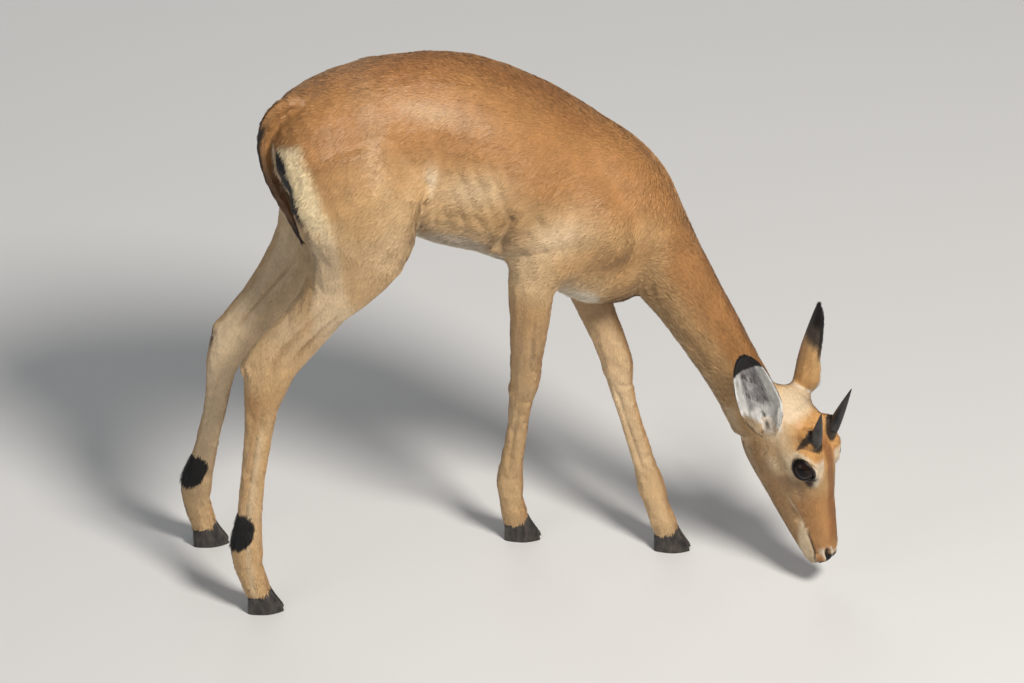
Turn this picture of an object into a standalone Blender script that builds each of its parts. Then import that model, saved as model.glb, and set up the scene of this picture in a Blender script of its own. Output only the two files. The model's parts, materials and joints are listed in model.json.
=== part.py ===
"""Young impala, drinking: a still, life-size model.

Metres, +Z up. +X is the way the animal faces, +Y is its left.
The flesh is lofted from tables of body stations, run together, thinned and
cut into nodes with a 0.3 mm gap. Ears, eyes, horns and hooves are their own
solids and sit in sockets cut for them.
"""
import math

import bmesh
import bpy
import numpy as np
from mathutils import Matrix, Vector

GAP = 0.0003

# Flesh is fused on a voxel grid, evened out, then thinned.
VOXEL = 0.0040
ROUNDS_ALL_OVER = 8
ROUNDS_ON_BODY = 60
THIN_RATIO = 0.037
THIN_FACTOR = 0.007

# Head: heading and how far the face tips down, then where the poll stands.
HEAD_HEADING = -35.0
HEAD_DIP = 75.0
POLL = Vector((0.324, 0.018, 0.237))

# ---------------------------------------------------------------- tables
# Every row: x, y, z, front, back, half width, heading in degrees.
# Front is up for the trunk, the top line for the neck, forward for a leg.
TRUNK = [
    (-0.283, 0.000, 0.628, 0.020, 0.030, 0.038, 10),
    (-0.271, 0.001, 0.624, 0.044, 0.052, 0.060, 10),
    (-0.248, 0.005, 0.618, 0.070, 0.060, 0.078, 10),
    (-0.205, 0.018, 0.611, 0.095, 0.074, 0.086, 10),
    (-0.150, 0.030, 0.603, 0.115, 0.100, 0.084, 10),
    (-0.095, 0.041, 0.592, 0.127, 0.120, 0.085, 9),
    (-0.035, 0.052, 0.575, 0.128, 0.124, 0.094, 5),
    (0.025, 0.061, 0.550, 0.119, 0.136, 0.096, 0),
    (0.070, 0.066, 0.526, 0.111, 0.147, 0.091, -4),
    (0.108, 0.067, 0.503, 0.105, 0.138, 0.082, -7),
    (0.140, 0.065, 0.482, 0.092, 0.114, 0.067, -11),
    (0.164, 0.061, 0.464, 0.062, 0.080, 0.048, -14),
    (0.176, 0.059, 0.456, 0.030, 0.040, 0.026, -14),
]
NECK = [
    (0.040, 0.067, 0.590, 0.026, 0.060, 0.040, -8),
    (0.085, 0.068, 0.562, 0.055, 0.085, 0.062, -10),
    (0.128, 0.066, 0.514, 0.065, 0.080, 0.060, -14),
    (0.158, 0.062, 0.466, 0.057, 0.069, 0.050, -18),
    (0.184, 0.057, 0.419, 0.051, 0.057, 0.041, -22),
    (0.212, 0.049, 0.372, 0.048, 0.047, 0.034, -25),
    (0.240, 0.040, 0.325, 0.044, 0.041, 0.032, -27),
    (0.262, 0.033, 0.288, 0.041, 0.039, 0.030, -30),
    (0.285, 0.025, 0.251, 0.038, 0.043, 0.030, -33),
    (0.306, 0.016, 0.216, 0.034, 0.048, 0.030, -35),
]
HIND_RIGHT = [
    (-0.200, -0.036, 0.648, 0.062, 0.058, 0.034, 8),
    (-0.190, -0.042, 0.600, 0.078, 0.074, 0.044, 8),
    (-0.184, -0.045, 0.565, 0.078, 0.074, 0.045, 8),
    (-0.180, -0.046, 0.530, 0.070, 0.070, 0.042, 8),
    (-0.186, -0.046, 0.495, 0.059, 0.058, 0.037, 7),
    (-0.202, -0.045, 0.460, 0.044, 0.045, 0.032, 6),
    (-0.224, -0.045, 0.431, 0.035, 0.032, 0.028, 5),
    (-0.245, -0.045, 0.403, 0.035, 0.0275, 0.024, 4),
    (-0.267, -0.045, 0.373, 0.035, 0.030, 0.020, 4),
    (-0.285, -0.046, 0.342, 0.031, 0.036, 0.018, 3),
    (-0.294, -0.046, 0.312, 0.027, 0.029, 0.018, 3),
    (-0.300, -0.047, 0.282, 0.021, 0.022, 0.016, 2),
    (-0.303, -0.050, 0.250, 0.017, 0.019, 0.013, 2),
    (-0.307, -0.054, 0.218, 0.0155, 0.017, 0.0115, 1),
    (-0.311, -0.058, 0.190, 0.015, 0.016, 0.011, 1),
    (-0.314, -0.062, 0.155, 0.0145, 0.016, 0.011, 0),
    (-0.316, -0.065, 0.122, 0.015, 0.018, 0.012, 0),
    (-0.317, -0.067, 0.094, 0.016, 0.023, 0.014, 0),
    (-0.316, -0.069, 0.066, 0.015, 0.021, 0.014, 0),
    (-0.310, -0.070, 0.040, 0.015, 0.018, 0.015, 0),
    (-0.304, -0.070, 0.016, 0.014, 0.015, 0.014, 0),
]
HIND_LEFT = [
    (-0.212, 0.066, 0.648, 0.062, 0.056, 0.034, 12),
    (-0.212, 0.072, 0.600, 0.078, 0.068, 0.044, 12),
    (-0.214, 0.073, 0.560, 0.076, 0.068, 0.045, 12),
    (-0.218, 0.071, 0.520, 0.068, 0.064, 0.041, 11),
    (-0.228, 0.067, 0.482, 0.056, 0.054, 0.036, 10),
    (-0.245, 0.061, 0.446, 0.043, 0.044, 0.031, 9),
    (-0.270, 0.054, 0.410, 0.034, 0.035, 0.026, 8),
    (-0.296, 0.047, 0.374, 0.030, 0.031, 0.021, 7),
    (-0.320, 0.042, 0.342, 0.027, 0.031, 0.018, 6),
    (-0.338, 0.040, 0.312, 0.024, 0.028, 0.018, 5),
    (-0.349, 0.041, 0.282, 0.019, 0.021, 0.016, 4),
    (-0.354, 0.044, 0.247, 0.015, 0.017, 0.012, 3),
    (-0.359, 0.048, 0.215, 0.014, 0.015, 0.011, 2),
    (-0.365, 0.053, 0.183, 0.0135, 0.015, 0.011, 2),
    (-0.371, 0.058, 0.148, 0.0135, 0.016, 0.011, 1),
    (-0.377, 0.063, 0.120, 0.015, 0.018, 0.012, 1),
    (-0.381, 0.067, 0.094, 0.0155, 0.022, 0.014, 0),
    (-0.383, 0.070, 0.066, 0.015, 0.020, 0.014, 0),
    (-0.379, 0.072, 0.040, 0.015, 0.017, 0.015, 0),
    (-0.374, 0.072, 0.016, 0.014, 0.015, 0.014, 0),
]
FORE_RIGHT = [
    (0.072, 0.006, 0.500, 0.048, 0.050, 0.026, -6),
    (0.040, -0.003, 0.470, 0.046, 0.048, 0.028, -4),
    (0.026, -0.005, 0.440, 0.034, 0.032, 0.025, -2),
    (0.022, -0.003, 0.410, 0.028, 0.027, 0.022, 0),
    (0.021, 0.003, 0.375, 0.025, 0.024, 0.020, 0),
    (0.019, 0.013, 0.335, 0.022, 0.022, 0.018, 0),
    (0.017, 0.026, 0.300, 0.020, 0.020, 0.017, 0),
    (0.015, 0.036, 0.270, 0.020, 0.018, 0.017, 0),
    (0.012, 0.045, 0.237, 0.016, 0.016, 0.014, 0),
    (0.009, 0.054, 0.200, 0.013, 0.014, 0.011, 0),
    (0.006, 0.062, 0.165, 0.013, 0.014, 0.011, 0),
    (0.001, 0.068, 0.126, 0.014, 0.015, 0.011, 0),
    (-0.002, 0.074, 0.092, 0.016, 0.017, 0.013, 0),
    (-0.001, 0.078, 0.062, 0.015, 0.015, 0.014, 0),
    (0.003, 0.082, 0.036, 0.016, 0.016, 0.015, 0),
    (0.006, 0.083, 0.018, 0.014, 0.014, 0.014, 0),
]
FORE_LEFT = [
    (0.092, 0.121, 0.500, 0.046, 0.050, 0.026, -10),
    (0.070, 0.126, 0.465, 0.045, 0.046, 0.028, -10),
    (0.062, 0.124, 0.432, 0.034, 0.033, 0.025, -9),
    (0.074, 0.117, 0.390, 0.027, 0.027, 0.022, -8),
    (0.090, 0.108, 0.350, 0.025, 0.024, 0.019, -7),
    (0.104, 0.100, 0.318, 0.022, 0.022, 0.018, -6),
    (0.117, 0.092, 0.285, 0.021, 0.020, 0.017, -5),
    (0.126, 0.086, 0.257, 0.020, 0.018, 0.017, -4),
    (0.133, 0.082, 0.225, 0.015, 0.016, 0.013, -3),
    (0.142, 0.077, 0.188, 0.013, 0.014, 0.011, -2),
    (0.153, 0.073, 0.150, 0.013, 0.014, 0.011, 0),
    (0.163, 0.069, 0.115, 0.014, 0.015, 0.011, 0),
    (0.170, 0.066, 0.090, 0.016, 0.017, 0.013, 0),
    (0.176, 0.064, 0.064, 0.015, 0.015, 0.014, 0),
    (0.185, 0.061, 0.038, 0.016, 0.016, 0.015, 0),
    (0.190, 0.060, 0.018, 0.014, 0.014, 0.014, 0),
]
# Tail rows: x, y, z and radius.
TAIL = [
    (-0.232, 0.001, 0.686, 0.006),
    (-0.258, -0.003, 0.688, 0.010),
    (-0.280, -0.005, 0.670, 0.0115),
    (-0.2920, -0.006, 0.640, 0.0115),
    (-0.2905, -0.007, 0.606, 0.0115),
    (-0.2795, -0.007, 0.570, 0.0110),
    (-0.2665, -0.006, 0.540, 0.0095),
    (-0.257, -0.005, 0.512, 0.0070),
    (-0.252, -0.004, 0.492, 0.0025),
]
# Head rows: distance from the poll towards the nose, top, bottom, half width.
HEAD = [
    (-0.024, 0.008, 0.016, 0.014),
    (-0.014, 0.018, 0.030, 0.026),
    (0.003, 0.033, 0.049, 0.035),
    (0.028, 0.052, 0.064, 0.040),
    (0.056, 0.058, 0.067, 0.039),
    (0.080, 0.056, 0.062, 0.034),
    (0.104, 0.051, 0.054, 0.028),
    (0.125, 0.046, 0.046, 0.025),
    (0.150, 0.043, 0.036, 0.022),
    (0.175, 0.039, 0.023, 0.0205),
    (0.192, 0.035, 0.013, 0.0185),
    (0.204, 0.028, 0.006, 0.0150),
    (0.212, 0.015, 0.000, 0.0085),
]
# Rounded muscles: middle, half sizes along, up, across, heading, dip.
MUSCLES = [
    ((0.085, 0.006, 0.520), (0.080, 0.052, 0.026), -6, 52),
    ((0.100, 0.126, 0.520), (0.080, 0.052, 0.026), -12, 52),
    ((0.062, 0.004, 0.484), (0.066, 0.050, 0.023), -5, -10),
    ((0.088, 0.125, 0.484), (0.066, 0.050, 0.023), -10, -10),
    ((-0.150, -0.036, 0.575), (0.070, 0.060, 0.036), 8, 40),
    ((-0.165, 0.086, 0.575), (0.070, 0.060, 0.036), 12, 40),
]

LEG_SPARE = 0.006

# Eyes, horns and ears: places along, above and beside the head's axis.
EYE_RADIUS = 0.0155
EYE_AT = (0.066, 0.037, 0.0245)
EYE_OUT = (0.35, 0.93, 0.05)
EYE_DISH = 0.0150
EYE_DISH_SIZES = (0.0140, 0.0115, 0.0115)
HORN_AT = (0.028, 0.060, 0.020)
HORN_LEAN = (-0.0435, 0.027, 0.0125)
HORN_LENGTH = 0.054
HORN_ROOT = 0.014
HORN_RADIUS = 0.0072
EAR_LENGTH = 0.120
EAR_HALF_WIDTH = 0.026
EAR_SKIN = 0.0032
EAR_BOW = 0.002
EAR_ROUNDNESS = 0.34           # of the tip: lower is blunter


def turn(heading):
    """Left-pointing unit vector for a heading in degrees."""
    angle = math.radians(heading)
    return Vector((-math.sin(angle), math.cos(angle), 0.0))


def head_axes():
    """Nose-ward, top-ward and left-ward unit vectors of the head."""
    heading = math.radians(HEAD_HEADING)
    dip = math.radians(HEAD_DIP)
    nose = Vector((math.cos(heading) * math.cos(dip), math.sin(heading) * math.cos(dip), -math.sin(dip)))
    left = turn(HEAD_HEADING)
    return nose, nose.cross(left), left


def head_point(nose_ward, top_ward, left_ward):
    """A point given along the three axes of the head."""
    nose, top, left = head_axes()
    return POLL + nose * nose_ward + top * top_ward + left * left_ward


def spline(rows, steps):
    """Smooth rows: each value runs through the table's rows."""
    table = np.array(rows, dtype=float)
    before = np.vstack([2 * table[0] - table[1], table, 2 * table[-1] - table[-2]])
    smooth = []
    for index in range(len(table) - 1):
        p0, p1, p2, p3 = before[index:index + 4]
        for step in range(steps):
            t = step / steps
            bend = 2 * p0 - 5 * p1 + 4 * p2 - p3
            twist = 3 * p1 - p0 - 3 * p2 + p3
            smooth.append(0.5 * (2 * p1 + (p2 - p0) * t + bend * t ** 2 + twist * t ** 3))
    smooth.append(table[-1])
    return smooth


def add_object(name, data, guide=False):
    """Link an object: parts in one collection, cutters and guides in another."""
    piece = bpy.data.objects.new(name, data)
    if guide:
        guides.objects.link(piece)
        piece.hide_render = True
        piece.display_type = "WIRE"
    else:
        parts.objects.link(piece)
    return piece


def make_object(name, points, faces, guide=False):
    """A mesh object with its faces turned outwards."""
    mesh = bpy.data.meshes.new(name)
    mesh.from_pydata([tuple(p) for p in points], [], faces)
    piece = add_object(name, mesh, guide)
    shell = bmesh.new()
    shell.from_mesh(mesh)
    bmesh.ops.recalc_face_normals(shell, faces=shell.faces)
    shell.to_mesh(mesh)
    shell.free()
    return piece


def loft(name, rows, ring=28, steps=4, power=2.0, grow=0.0, upright=False, guide=False):
    """Rings of squared ellipses through the rows, closed at both ends."""
    smooth = spline(rows, steps)
    centres = [Vector(row[:3]) for row in smooth]
    points = []
    for index, row in enumerate(smooth):
        ahead = centres[min(index + 1, len(centres) - 1)]
        behind = centres[max(index - 1, 0)]
        side = turn(row[6])
        along = (ahead - behind).normalized()
        if upright:
            along = side.cross(Vector((0, 0, 1)))
        front = along.cross(side).normalized()
        across = front.cross(along).normalized()
        if index == 0:
            centres[0] = centres[0] - along * grow
        for step in range(ring):
            angle = 2 * math.pi * step / ring
            c, s = math.cos(angle), math.sin(angle)
            reach = row[3] if s > 0 else row[4]
            out = abs(c) ** (2 / power) * (row[5] + grow) * (1 if c > 0 else -1)
            rise = abs(s) ** (2 / power) * (reach + grow) * (1 if s > 0 else -1)
            points.append(centres[index] + across * out + front * rise)
    return close_rings(name, points, ring, guide)


def close_rings(name, points, ring, guide=False):
    """Faces between rings of points, with a flat face on each end."""
    rows = len(points) // ring
    faces = []
    for row in range(rows - 1):
        for step in range(ring):
            a = row * ring + step
            b = row * ring + (step + 1) % ring
            faces.append((a, b, b + ring, a + ring))
    faces.append(tuple(reversed(range(ring))))
    faces.append(tuple(range((rows - 1) * ring, rows * ring)))
    return make_object(name, points, faces, guide)


def ball(name, middle, sizes, heading=0.0, dip=0.0, rings=14, ring=20, guide=False):
    """An ellipsoid, its first size along a heading dipped by some degrees."""
    side = turn(heading)
    along = Matrix.Rotation(math.radians(dip), 3, side) @ side.cross(Vector((0, 0, 1)))
    up = along.cross(side)
    axes = Matrix((side * sizes[2], up * sizes[1], along * sizes[0])).transposed().to_4x4()
    shell = bmesh.new()
    place = Matrix.Translation(Vector(middle)) @ axes
    bmesh.ops.create_uvsphere(shell, u_segments=ring, v_segments=rings, radius=1.0, matrix=place)
    bmesh.ops.recalc_face_normals(shell, faces=shell.faces)
    mesh = bpy.data.meshes.new(name)
    shell.to_mesh(mesh)
    shell.free()
    return add_object(name, mesh, guide)


def tapered_tube(name, rows, resolution):
    """A round tube along a smooth curve: rows of x, y, z and radius."""
    curve = bpy.data.curves.new(name, "CURVE")
    curve.dimensions = "3D"
    curve.bevel_depth = 1.0
    curve.bevel_resolution = resolution
    curve.use_fill_caps = True
    strand = curve.splines.new("POLY")
    strand.points.add(len(rows) - 1)
    for point, row in zip(strand.points, rows):
        point.co = (row[0], row[1], row[2], 1.0)
        point.radius = row[3]
    tube = add_object(name, curve)
    bpy.context.view_layer.update()
    graph = bpy.context.evaluated_depsgraph_get()
    mesh = bpy.data.meshes.new_from_object(tube.evaluated_get(graph))
    bpy.data.objects.remove(tube)
    shell = bmesh.new()
    shell.from_mesh(mesh)
    bmesh.ops.remove_doubles(shell, verts=shell.verts, dist=0.00002)
    bmesh.ops.recalc_face_normals(shell, faces=shell.faces)
    shell.to_mesh(mesh)
    shell.free()
    return add_object(name, mesh)


def head_loft():
    """The skull and lower jaw, wider above than below."""
    smooth = spline([(row[0], row[1], row[2], row[3]) for row in HEAD], 4)
    nose, top, left = head_axes()
    ring = 28
    points = []
    for row in smooth:
        for step in range(ring):
            angle = 2 * math.pi * step / ring
            c, s = math.cos(angle), math.sin(angle)
            power = 2.35 if s > 0 else 1.75
            reach = row[1] if s > 0 else row[2]
            out = abs(c) ** (2 / power) * row[3] * (1 if c > 0 else -1)
            rise = abs(s) ** (2 / power) * reach * (1 if s > 0 else -1)
            points.append(POLL + nose * row[0] + top * rise + left * out)
    return close_rings("skull", points, ring)


def evaluated(piece):
    """Swap a piece's mesh for what its modifiers make of it."""
    bpy.context.view_layer.update()
    graph = bpy.context.evaluated_depsgraph_get()
    mesh = bpy.data.meshes.new_from_object(piece.evaluated_get(graph))
    piece.modifiers.clear()
    piece.data = mesh
    return piece


def join(pieces, name):
    """One object from many, their meshes side by side."""
    shell = bmesh.new()
    for piece in pieces:
        shell.from_mesh(piece.data)
        bpy.data.objects.remove(piece)
    mesh = bpy.data.meshes.new(name)
    shell.to_mesh(mesh)
    shell.free()
    return add_object(name, mesh)


def relax(piece, rounds, gentle):
    """Even out the surface without shrinking it, the head and feet less."""
    mesh = piece.data
    count = len(mesh.vertices)
    points = np.empty(count * 3)
    mesh.vertices.foreach_get("co", points)
    points = points.reshape(-1, 3)
    edges = np.empty(len(mesh.edges) * 2, dtype=np.int32)
    mesh.edges.foreach_get("vertices", edges)
    first, second = edges.reshape(-1, 2).T
    degree = np.bincount(np.concatenate([first, second]), minlength=count)
    along_head = (points - np.array(POLL)) @ np.array(head_axes()[0])
    body = np.clip((points[:, 2] - 0.36) / 0.06, 0, 1)
    body = np.maximum(body, np.clip((0.05 - along_head) / 0.03, 0, 1) * (points[:, 0] > 0.15))
    for turn_index in range(rounds):
        hold = np.ones(count) if turn_index < gentle else body
        for weight in (0.55, -0.57):
            total = np.zeros_like(points)
            for axis in range(3):
                total[:, axis] += np.bincount(first, points[second, axis], count)
                total[:, axis] += np.bincount(second, points[first, axis], count)
            points += weight * hold[:, None] * (total / degree[:, None] - points)
    mesh.vertices.foreach_set("co", points.ravel())
    mesh.update()


def keep_largest(piece):
    """Drop any small loose bits a cut has left."""
    shell = bmesh.new()
    shell.from_mesh(piece.data)
    bmesh.ops.remove_doubles(shell, verts=shell.verts, dist=0.00002)
    bmesh.ops.dissolve_degenerate(shell, edges=shell.edges, dist=0.00002)
    left = set(shell.faces)
    parts = []
    while left:
        seed = left.pop()
        part, queue = {seed}, [seed]
        while queue:
            for edge in queue.pop().edges:
                for face in edge.link_faces:
                    if face in left:
                        left.discard(face)
                        part.add(face)
                        queue.append(face)
        parts.append(part)
    parts.sort(key=len)
    for part in parts[:-1]:
        bmesh.ops.delete(shell, geom=list(part), context="FACES")
    bmesh.ops.triangulate(shell, faces=shell.faces)
    shell.to_mesh(piece.data)
    shell.free()


def boolean(piece, cutter, operation):
    """Cut, keep or join, with the exact solver."""
    change = piece.modifiers.new("cut", "BOOLEAN")
    change.operation = operation
    change.solver = "EXACT"
    change.object = cutter
    return evaluated(piece)


def swollen(piece, amount):
    """A copy of a closed piece with every point moved out along its normal."""
    twin = add_object(piece.name + "_room", piece.data.copy(), guide=True)
    shell = bmesh.new()
    shell.from_mesh(twin.data)
    shell.normal_update()
    moves = [vert.normal * amount for vert in shell.verts]
    for vert, move in zip(shell.verts, moves):
        vert.co += move
    shell.to_mesh(twin.data)
    shell.free()
    return twin


def take(flesh, name, cutter, room):
    """Split a node off the flesh, leaving a gap behind it."""
    node = add_object(name, flesh.data.copy())
    boolean(node, cutter, "INTERSECT")
    boolean(flesh, room, "DIFFERENCE")
    bpy.data.objects.remove(cutter)
    bpy.data.objects.remove(room)
    keep_largest(node)
    keep_largest(flesh)
    return node


def slab(name, middle, along, side, sizes, grow=0.0):
    """A box standing on middle: its length along, then its half sizes."""
    along = Vector(along).normalized()
    side = Vector(side)
    side = (side - along * side.dot(along)).normalized()
    up = along.cross(side)
    length = sizes[0] + 2 * grow
    scaled = (along * length, side * 2 * (sizes[1] + grow), up * 2 * (sizes[2] + grow))
    axes = Matrix(scaled).transposed().to_4x4()
    centre = Vector(middle) + along * sizes[0] / 2
    shell = bmesh.new()
    bmesh.ops.create_cube(shell, size=1.0, matrix=Matrix.Translation(centre) @ axes)
    bmesh.ops.recalc_face_normals(shell, faces=shell.faces)
    mesh = bpy.data.meshes.new(name)
    shell.to_mesh(mesh)
    shell.free()
    return add_object(name, mesh, guide=True)


def tube_cutter(name, rows, spare, grow):
    """A fat copy of a leg's loft, used to cut the leg out of the flesh."""
    fat = [(x, y, z, f + spare, b + spare, w + spare, h) for x, y, z, f, b, w, h in rows]
    return loft(name, fat, ring=20, steps=3, grow=grow, guide=True)


# ---------------------------------------------------------------- flesh
def build_flesh():
    """All soft parts in one closed surface, thinned to a working size."""
    pieces = [
        loft("trunk_form", TRUNK, ring=32, power=2.15, upright=True),
        loft("neck_form", NECK, power=2.05),
        loft("hind_right_form", HIND_RIGHT, ring=24, power=2.1),
        loft("hind_left_form", HIND_LEFT, ring=24, power=2.1),
        loft("fore_right_form", FORE_RIGHT, ring=24, power=2.1),
        loft("fore_left_form", FORE_LEFT, ring=24, power=2.1),
        head_loft(),
    ]
    for index, (middle, sizes, heading, dip) in enumerate(MUSCLES):
        pieces.append(ball("muscle_%d" % index, middle, sizes, heading, dip))
    for sign in (-1, 1):
        brow = head_point(0.058, 0.040, 0.021 * sign)
        pieces.append(ball("brow", brow, (0.025, 0.018, 0.018), HEAD_HEADING, HEAD_DIP))
        pedicel = head_point(0.030, 0.050, 0.020 * sign)
        pieces.append(ball("pedicel", pedicel, (0.014, 0.014, 0.012), HEAD_HEADING, HEAD_DIP))
        root = head_point(0.004, 0.003, 0.031 * sign)
        pieces.append(ball("ear_root", root, (0.021, 0.019, 0.014), HEAD_HEADING, HEAD_DIP))
        nostril = head_point(0.198, 0.018, 0.0075 * sign)
        pieces.append(ball("nostril", nostril, (0.010, 0.011, 0.011), HEAD_HEADING, HEAD_DIP))
    flesh = join(pieces, "flesh")
    remesh = flesh.modifiers.new("remesh", "REMESH")
    remesh.mode = "VOXEL"
    remesh.voxel_size = VOXEL
    evaluated(flesh)
    relax(flesh, ROUNDS_ON_BODY, ROUNDS_ALL_OVER)
    return flesh


def thin(flesh, ratio, factor):
    """Fewer triangles, with most of them left on the head and feet."""
    group = flesh.vertex_groups.new(name="plain")
    nose, top, left = head_axes()
    for vert in flesh.data.vertices:
        weight = 1.0
        from_poll = (vert.co - POLL).dot(nose)
        if vert.co.x > 0.24 and vert.co.z < 0.30 and from_poll > -0.03:
            weight = 0.05
        elif vert.co.z < 0.36:
            weight = 0.60
        group.add([vert.index], weight, "REPLACE")
    change = flesh.modifiers.new("thin", "DECIMATE")
    change.ratio = ratio
    change.vertex_group = "plain"
    change.vertex_group_factor = factor
    evaluated(flesh)
    flesh.vertex_groups.clear()
    keep_largest(flesh)


def ear_mesh(name, root, lean, facing, twist, rolled):
    """A leaf-shaped shell, rolled at its base and open along its front."""
    nose, top, left = head_axes()
    axis = (top * lean[0] - nose * lean[1] + left * lean[2]).normalized()
    open_to = top * facing[0] + left * facing[1] - nose * facing[2]
    open_to = (open_to - axis * open_to.dot(axis)).normalized()
    across = axis.cross(open_to)
    base = head_point(*root)
    long_steps, wide_steps = 11, 6
    points = []
    base_across, base_open = across, open_to
    for row in range(long_steps + 1):
        t = 1 - (1 - row / long_steps) ** 1.45
        turned = Matrix.Rotation(math.radians(twist * t), 3, axis)
        across, open_to = turned @ base_across, turned @ base_open
        leaf = math.sin(math.pi * min(1.0, 0.16 + 0.84 * t ** 0.86)) ** EAR_ROUNDNESS
        half = EAR_HALF_WIDTH * max(0.10, leaf)
        half = half * (rolled + (1 - rolled) * min(1.0, t / 0.36))
        arc = math.radians(128 - 72 * min(1.0, t / 0.45))
        radius = half / math.sin(min(arc, math.pi / 2))
        centre = base + axis * EAR_LENGTH * t - open_to * EAR_BOW * math.sin(math.pi * t)
        for step in range(wide_steps + 1):
            angle = arc * (2 * step / wide_steps - 1)
            point = centre + across * radius * math.sin(angle)
            point += open_to * radius * (1 - math.cos(angle))
            points.append(point)
    wide = wide_steps + 1
    mesh = bpy.data.meshes.new(name)
    faces = []
    for row in range(long_steps):
        for step in range(wide_steps):
            a = row * wide + step
            faces.append((a, a + 1, a + 1 + wide, a + wide))
    mesh.from_pydata([tuple(p) for p in points], [], faces)
    piece = add_object(name, mesh)
    shell = piece.modifiers.new("skin", "SOLIDIFY")
    shell.thickness = EAR_SKIN
    shell.offset = 0.0
    evaluated(piece)
    keep_largest(piece)
    return piece


def horn_mesh(name, sign):
    """A straight young horn: round, tapered, its point a little blunt."""
    nose, top, left = head_axes()
    lean = (nose * HORN_LEAN[0] + top * HORN_LEAN[1] + left * HORN_LEAN[2] * sign).normalized()
    base = head_point(HORN_AT[0], HORN_AT[1], HORN_AT[2] * sign)
    rows = []
    for step in range(7):
        t = math.sin(math.pi / 2 * step / 6)
        centre = base + lean * (t * (HORN_LENGTH + HORN_ROOT) - HORN_ROOT)
        rows.append((*centre, HORN_RADIUS * (1 - t ** 1.5) + 0.0006))
    return tapered_tube(name, rows, 1)


# Feet: name, where the sole's middle is, heading, row table.
FEET = [
    ("fore_right", (0.010, 0.083), -6.0, FORE_RIGHT),
    ("fore_left", (0.193, 0.060), -8.0, FORE_LEFT),
    ("hind_right", (-0.302, -0.070), 2.0, HIND_RIGHT),
    ("hind_left", (-0.372, 0.072), 4.0, HIND_LEFT),
]
CORONET_FRONT = 0.036
CORONET_BACK = 0.020
HOOF_LENGTH = 0.046
CLAW_WIDTH = 0.0145


def claw_mesh(name, middle, heading, sign):
    """One half of a cloven hoof: pointed ahead, flat below, cut by the coronet."""
    side = turn(heading)
    ahead = side.cross(Vector((0, 0, 1)))
    foot = Vector((middle[0], middle[1], 0.0))
    ring = 14
    points = []
    for t in (0.0, 0.12, 1.0):
        length = HOOF_LENGTH * (1 - 0.30 * t)
        width = CLAW_WIDTH * (1 - 0.10 * t)
        if t == 0.0:
            length -= 0.002
            width -= 0.0015
        back = -0.40 * HOOF_LENGTH
        for step in range(ring):
            angle = 2 * math.pi * step / ring
            c, s = math.cos(angle), math.sin(angle)
            reach = (0.5 + 0.5 * c) * length + back
            # narrow to a point at the toe, round at the heel
            taper = (1 - max(0.0, c)) ** 0.5 * 0.5 + 0.5 if c > 0 else 1.0
            taper *= abs(s) ** 0.8
            inner = 0.5 * width * taper * (1 if s > 0 else -1)
            if s * sign < 0:
                inner *= 0.80
            slope = CORONET_BACK + (CORONET_FRONT - CORONET_BACK) * (reach - back) / HOOF_LENGTH
            level = (slope - GAP) * t
            shift = sign * (0.5 * CLAW_WIDTH + 0.0006)
            points.append(foot + ahead * reach + side * (inner + shift) + Vector((0, 0, level)))
    return close_rings(name, points, ring)


def build_feet(legs):
    """Cut each leg at the coronet and stand it on two claws."""
    claws = []
    for label, middle, heading, rows in FEET:
        leg = legs[label]
        side = turn(heading)
        ahead = side.cross(Vector((0, 0, 1)))
        slope = (CORONET_FRONT - CORONET_BACK) / HOOF_LENGTH
        down = -Vector((-ahead.x * slope, -ahead.y * slope, 1.0)).normalized()
        mid_level = CORONET_BACK + (CORONET_FRONT - CORONET_BACK) * 0.40
        middle_point = Vector((middle[0], middle[1], mid_level))
        under = slab("under", middle_point, down, side, (0.12, 0.12, 0.12))
        boolean(leg, under, "DIFFERENCE")
        bpy.data.objects.remove(under)
        keep_largest(leg)
        for hand, sign in (("right", -1), ("left", 1)):
            claws.append(claw_mesh("hoof_%s_%s_claw" % (label, hand), middle, heading, sign))
    return claws


def socket(piece, guest):
    """Make room in a piece for a guest that sits in it."""
    room = swollen(guest, GAP)
    boolean(piece, room, "DIFFERENCE")
    bpy.data.objects.remove(room)
    keep_largest(piece)


def paint(piece, colour, roughness):
    """Each node's own plain material, and smooth shading."""
    material = bpy.data.materials.new(piece.name)
    material.use_nodes = True
    shader = material.node_tree.nodes["Principled BSDF"]
    shader.inputs["Base Color"].default_value = (*colour, 1.0)
    shader.inputs["Roughness"].default_value = roughness
    piece.data.materials.clear()
    piece.data.materials.append(material)
    for face in piece.data.polygons:
        face.use_smooth = True


# ---------------------------------------------------------------- build
for old in list(bpy.data.objects):
    bpy.data.objects.remove(old)
parts = bpy.data.collections.new("young_impala")
guides = bpy.data.collections.new("cutters")
bpy.context.scene.collection.children.link(parts)
bpy.context.scene.collection.children.link(guides)

flesh = build_flesh()
thin(flesh, THIN_RATIO, THIN_FACTOR)

nose_dir, top_dir, left_dir = head_axes()
nodes = {}

# Head from neck: a plane behind the ears and jaw.
cut_at = head_point(-0.020, 0.0, 0.0) + Vector((0.0, 0.0, 0.012))
cut_dir = (nose_dir * 0.94 + top_dir * 0.34).normalized()
box = (0.40, 0.13, 0.13)
cutter = slab("head_cutter", cut_at, cut_dir, left_dir, box)
room = slab("head_room", cut_at, cut_dir, left_dir, box, GAP)
nodes["head"] = take(flesh, "head", cutter, room)

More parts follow.
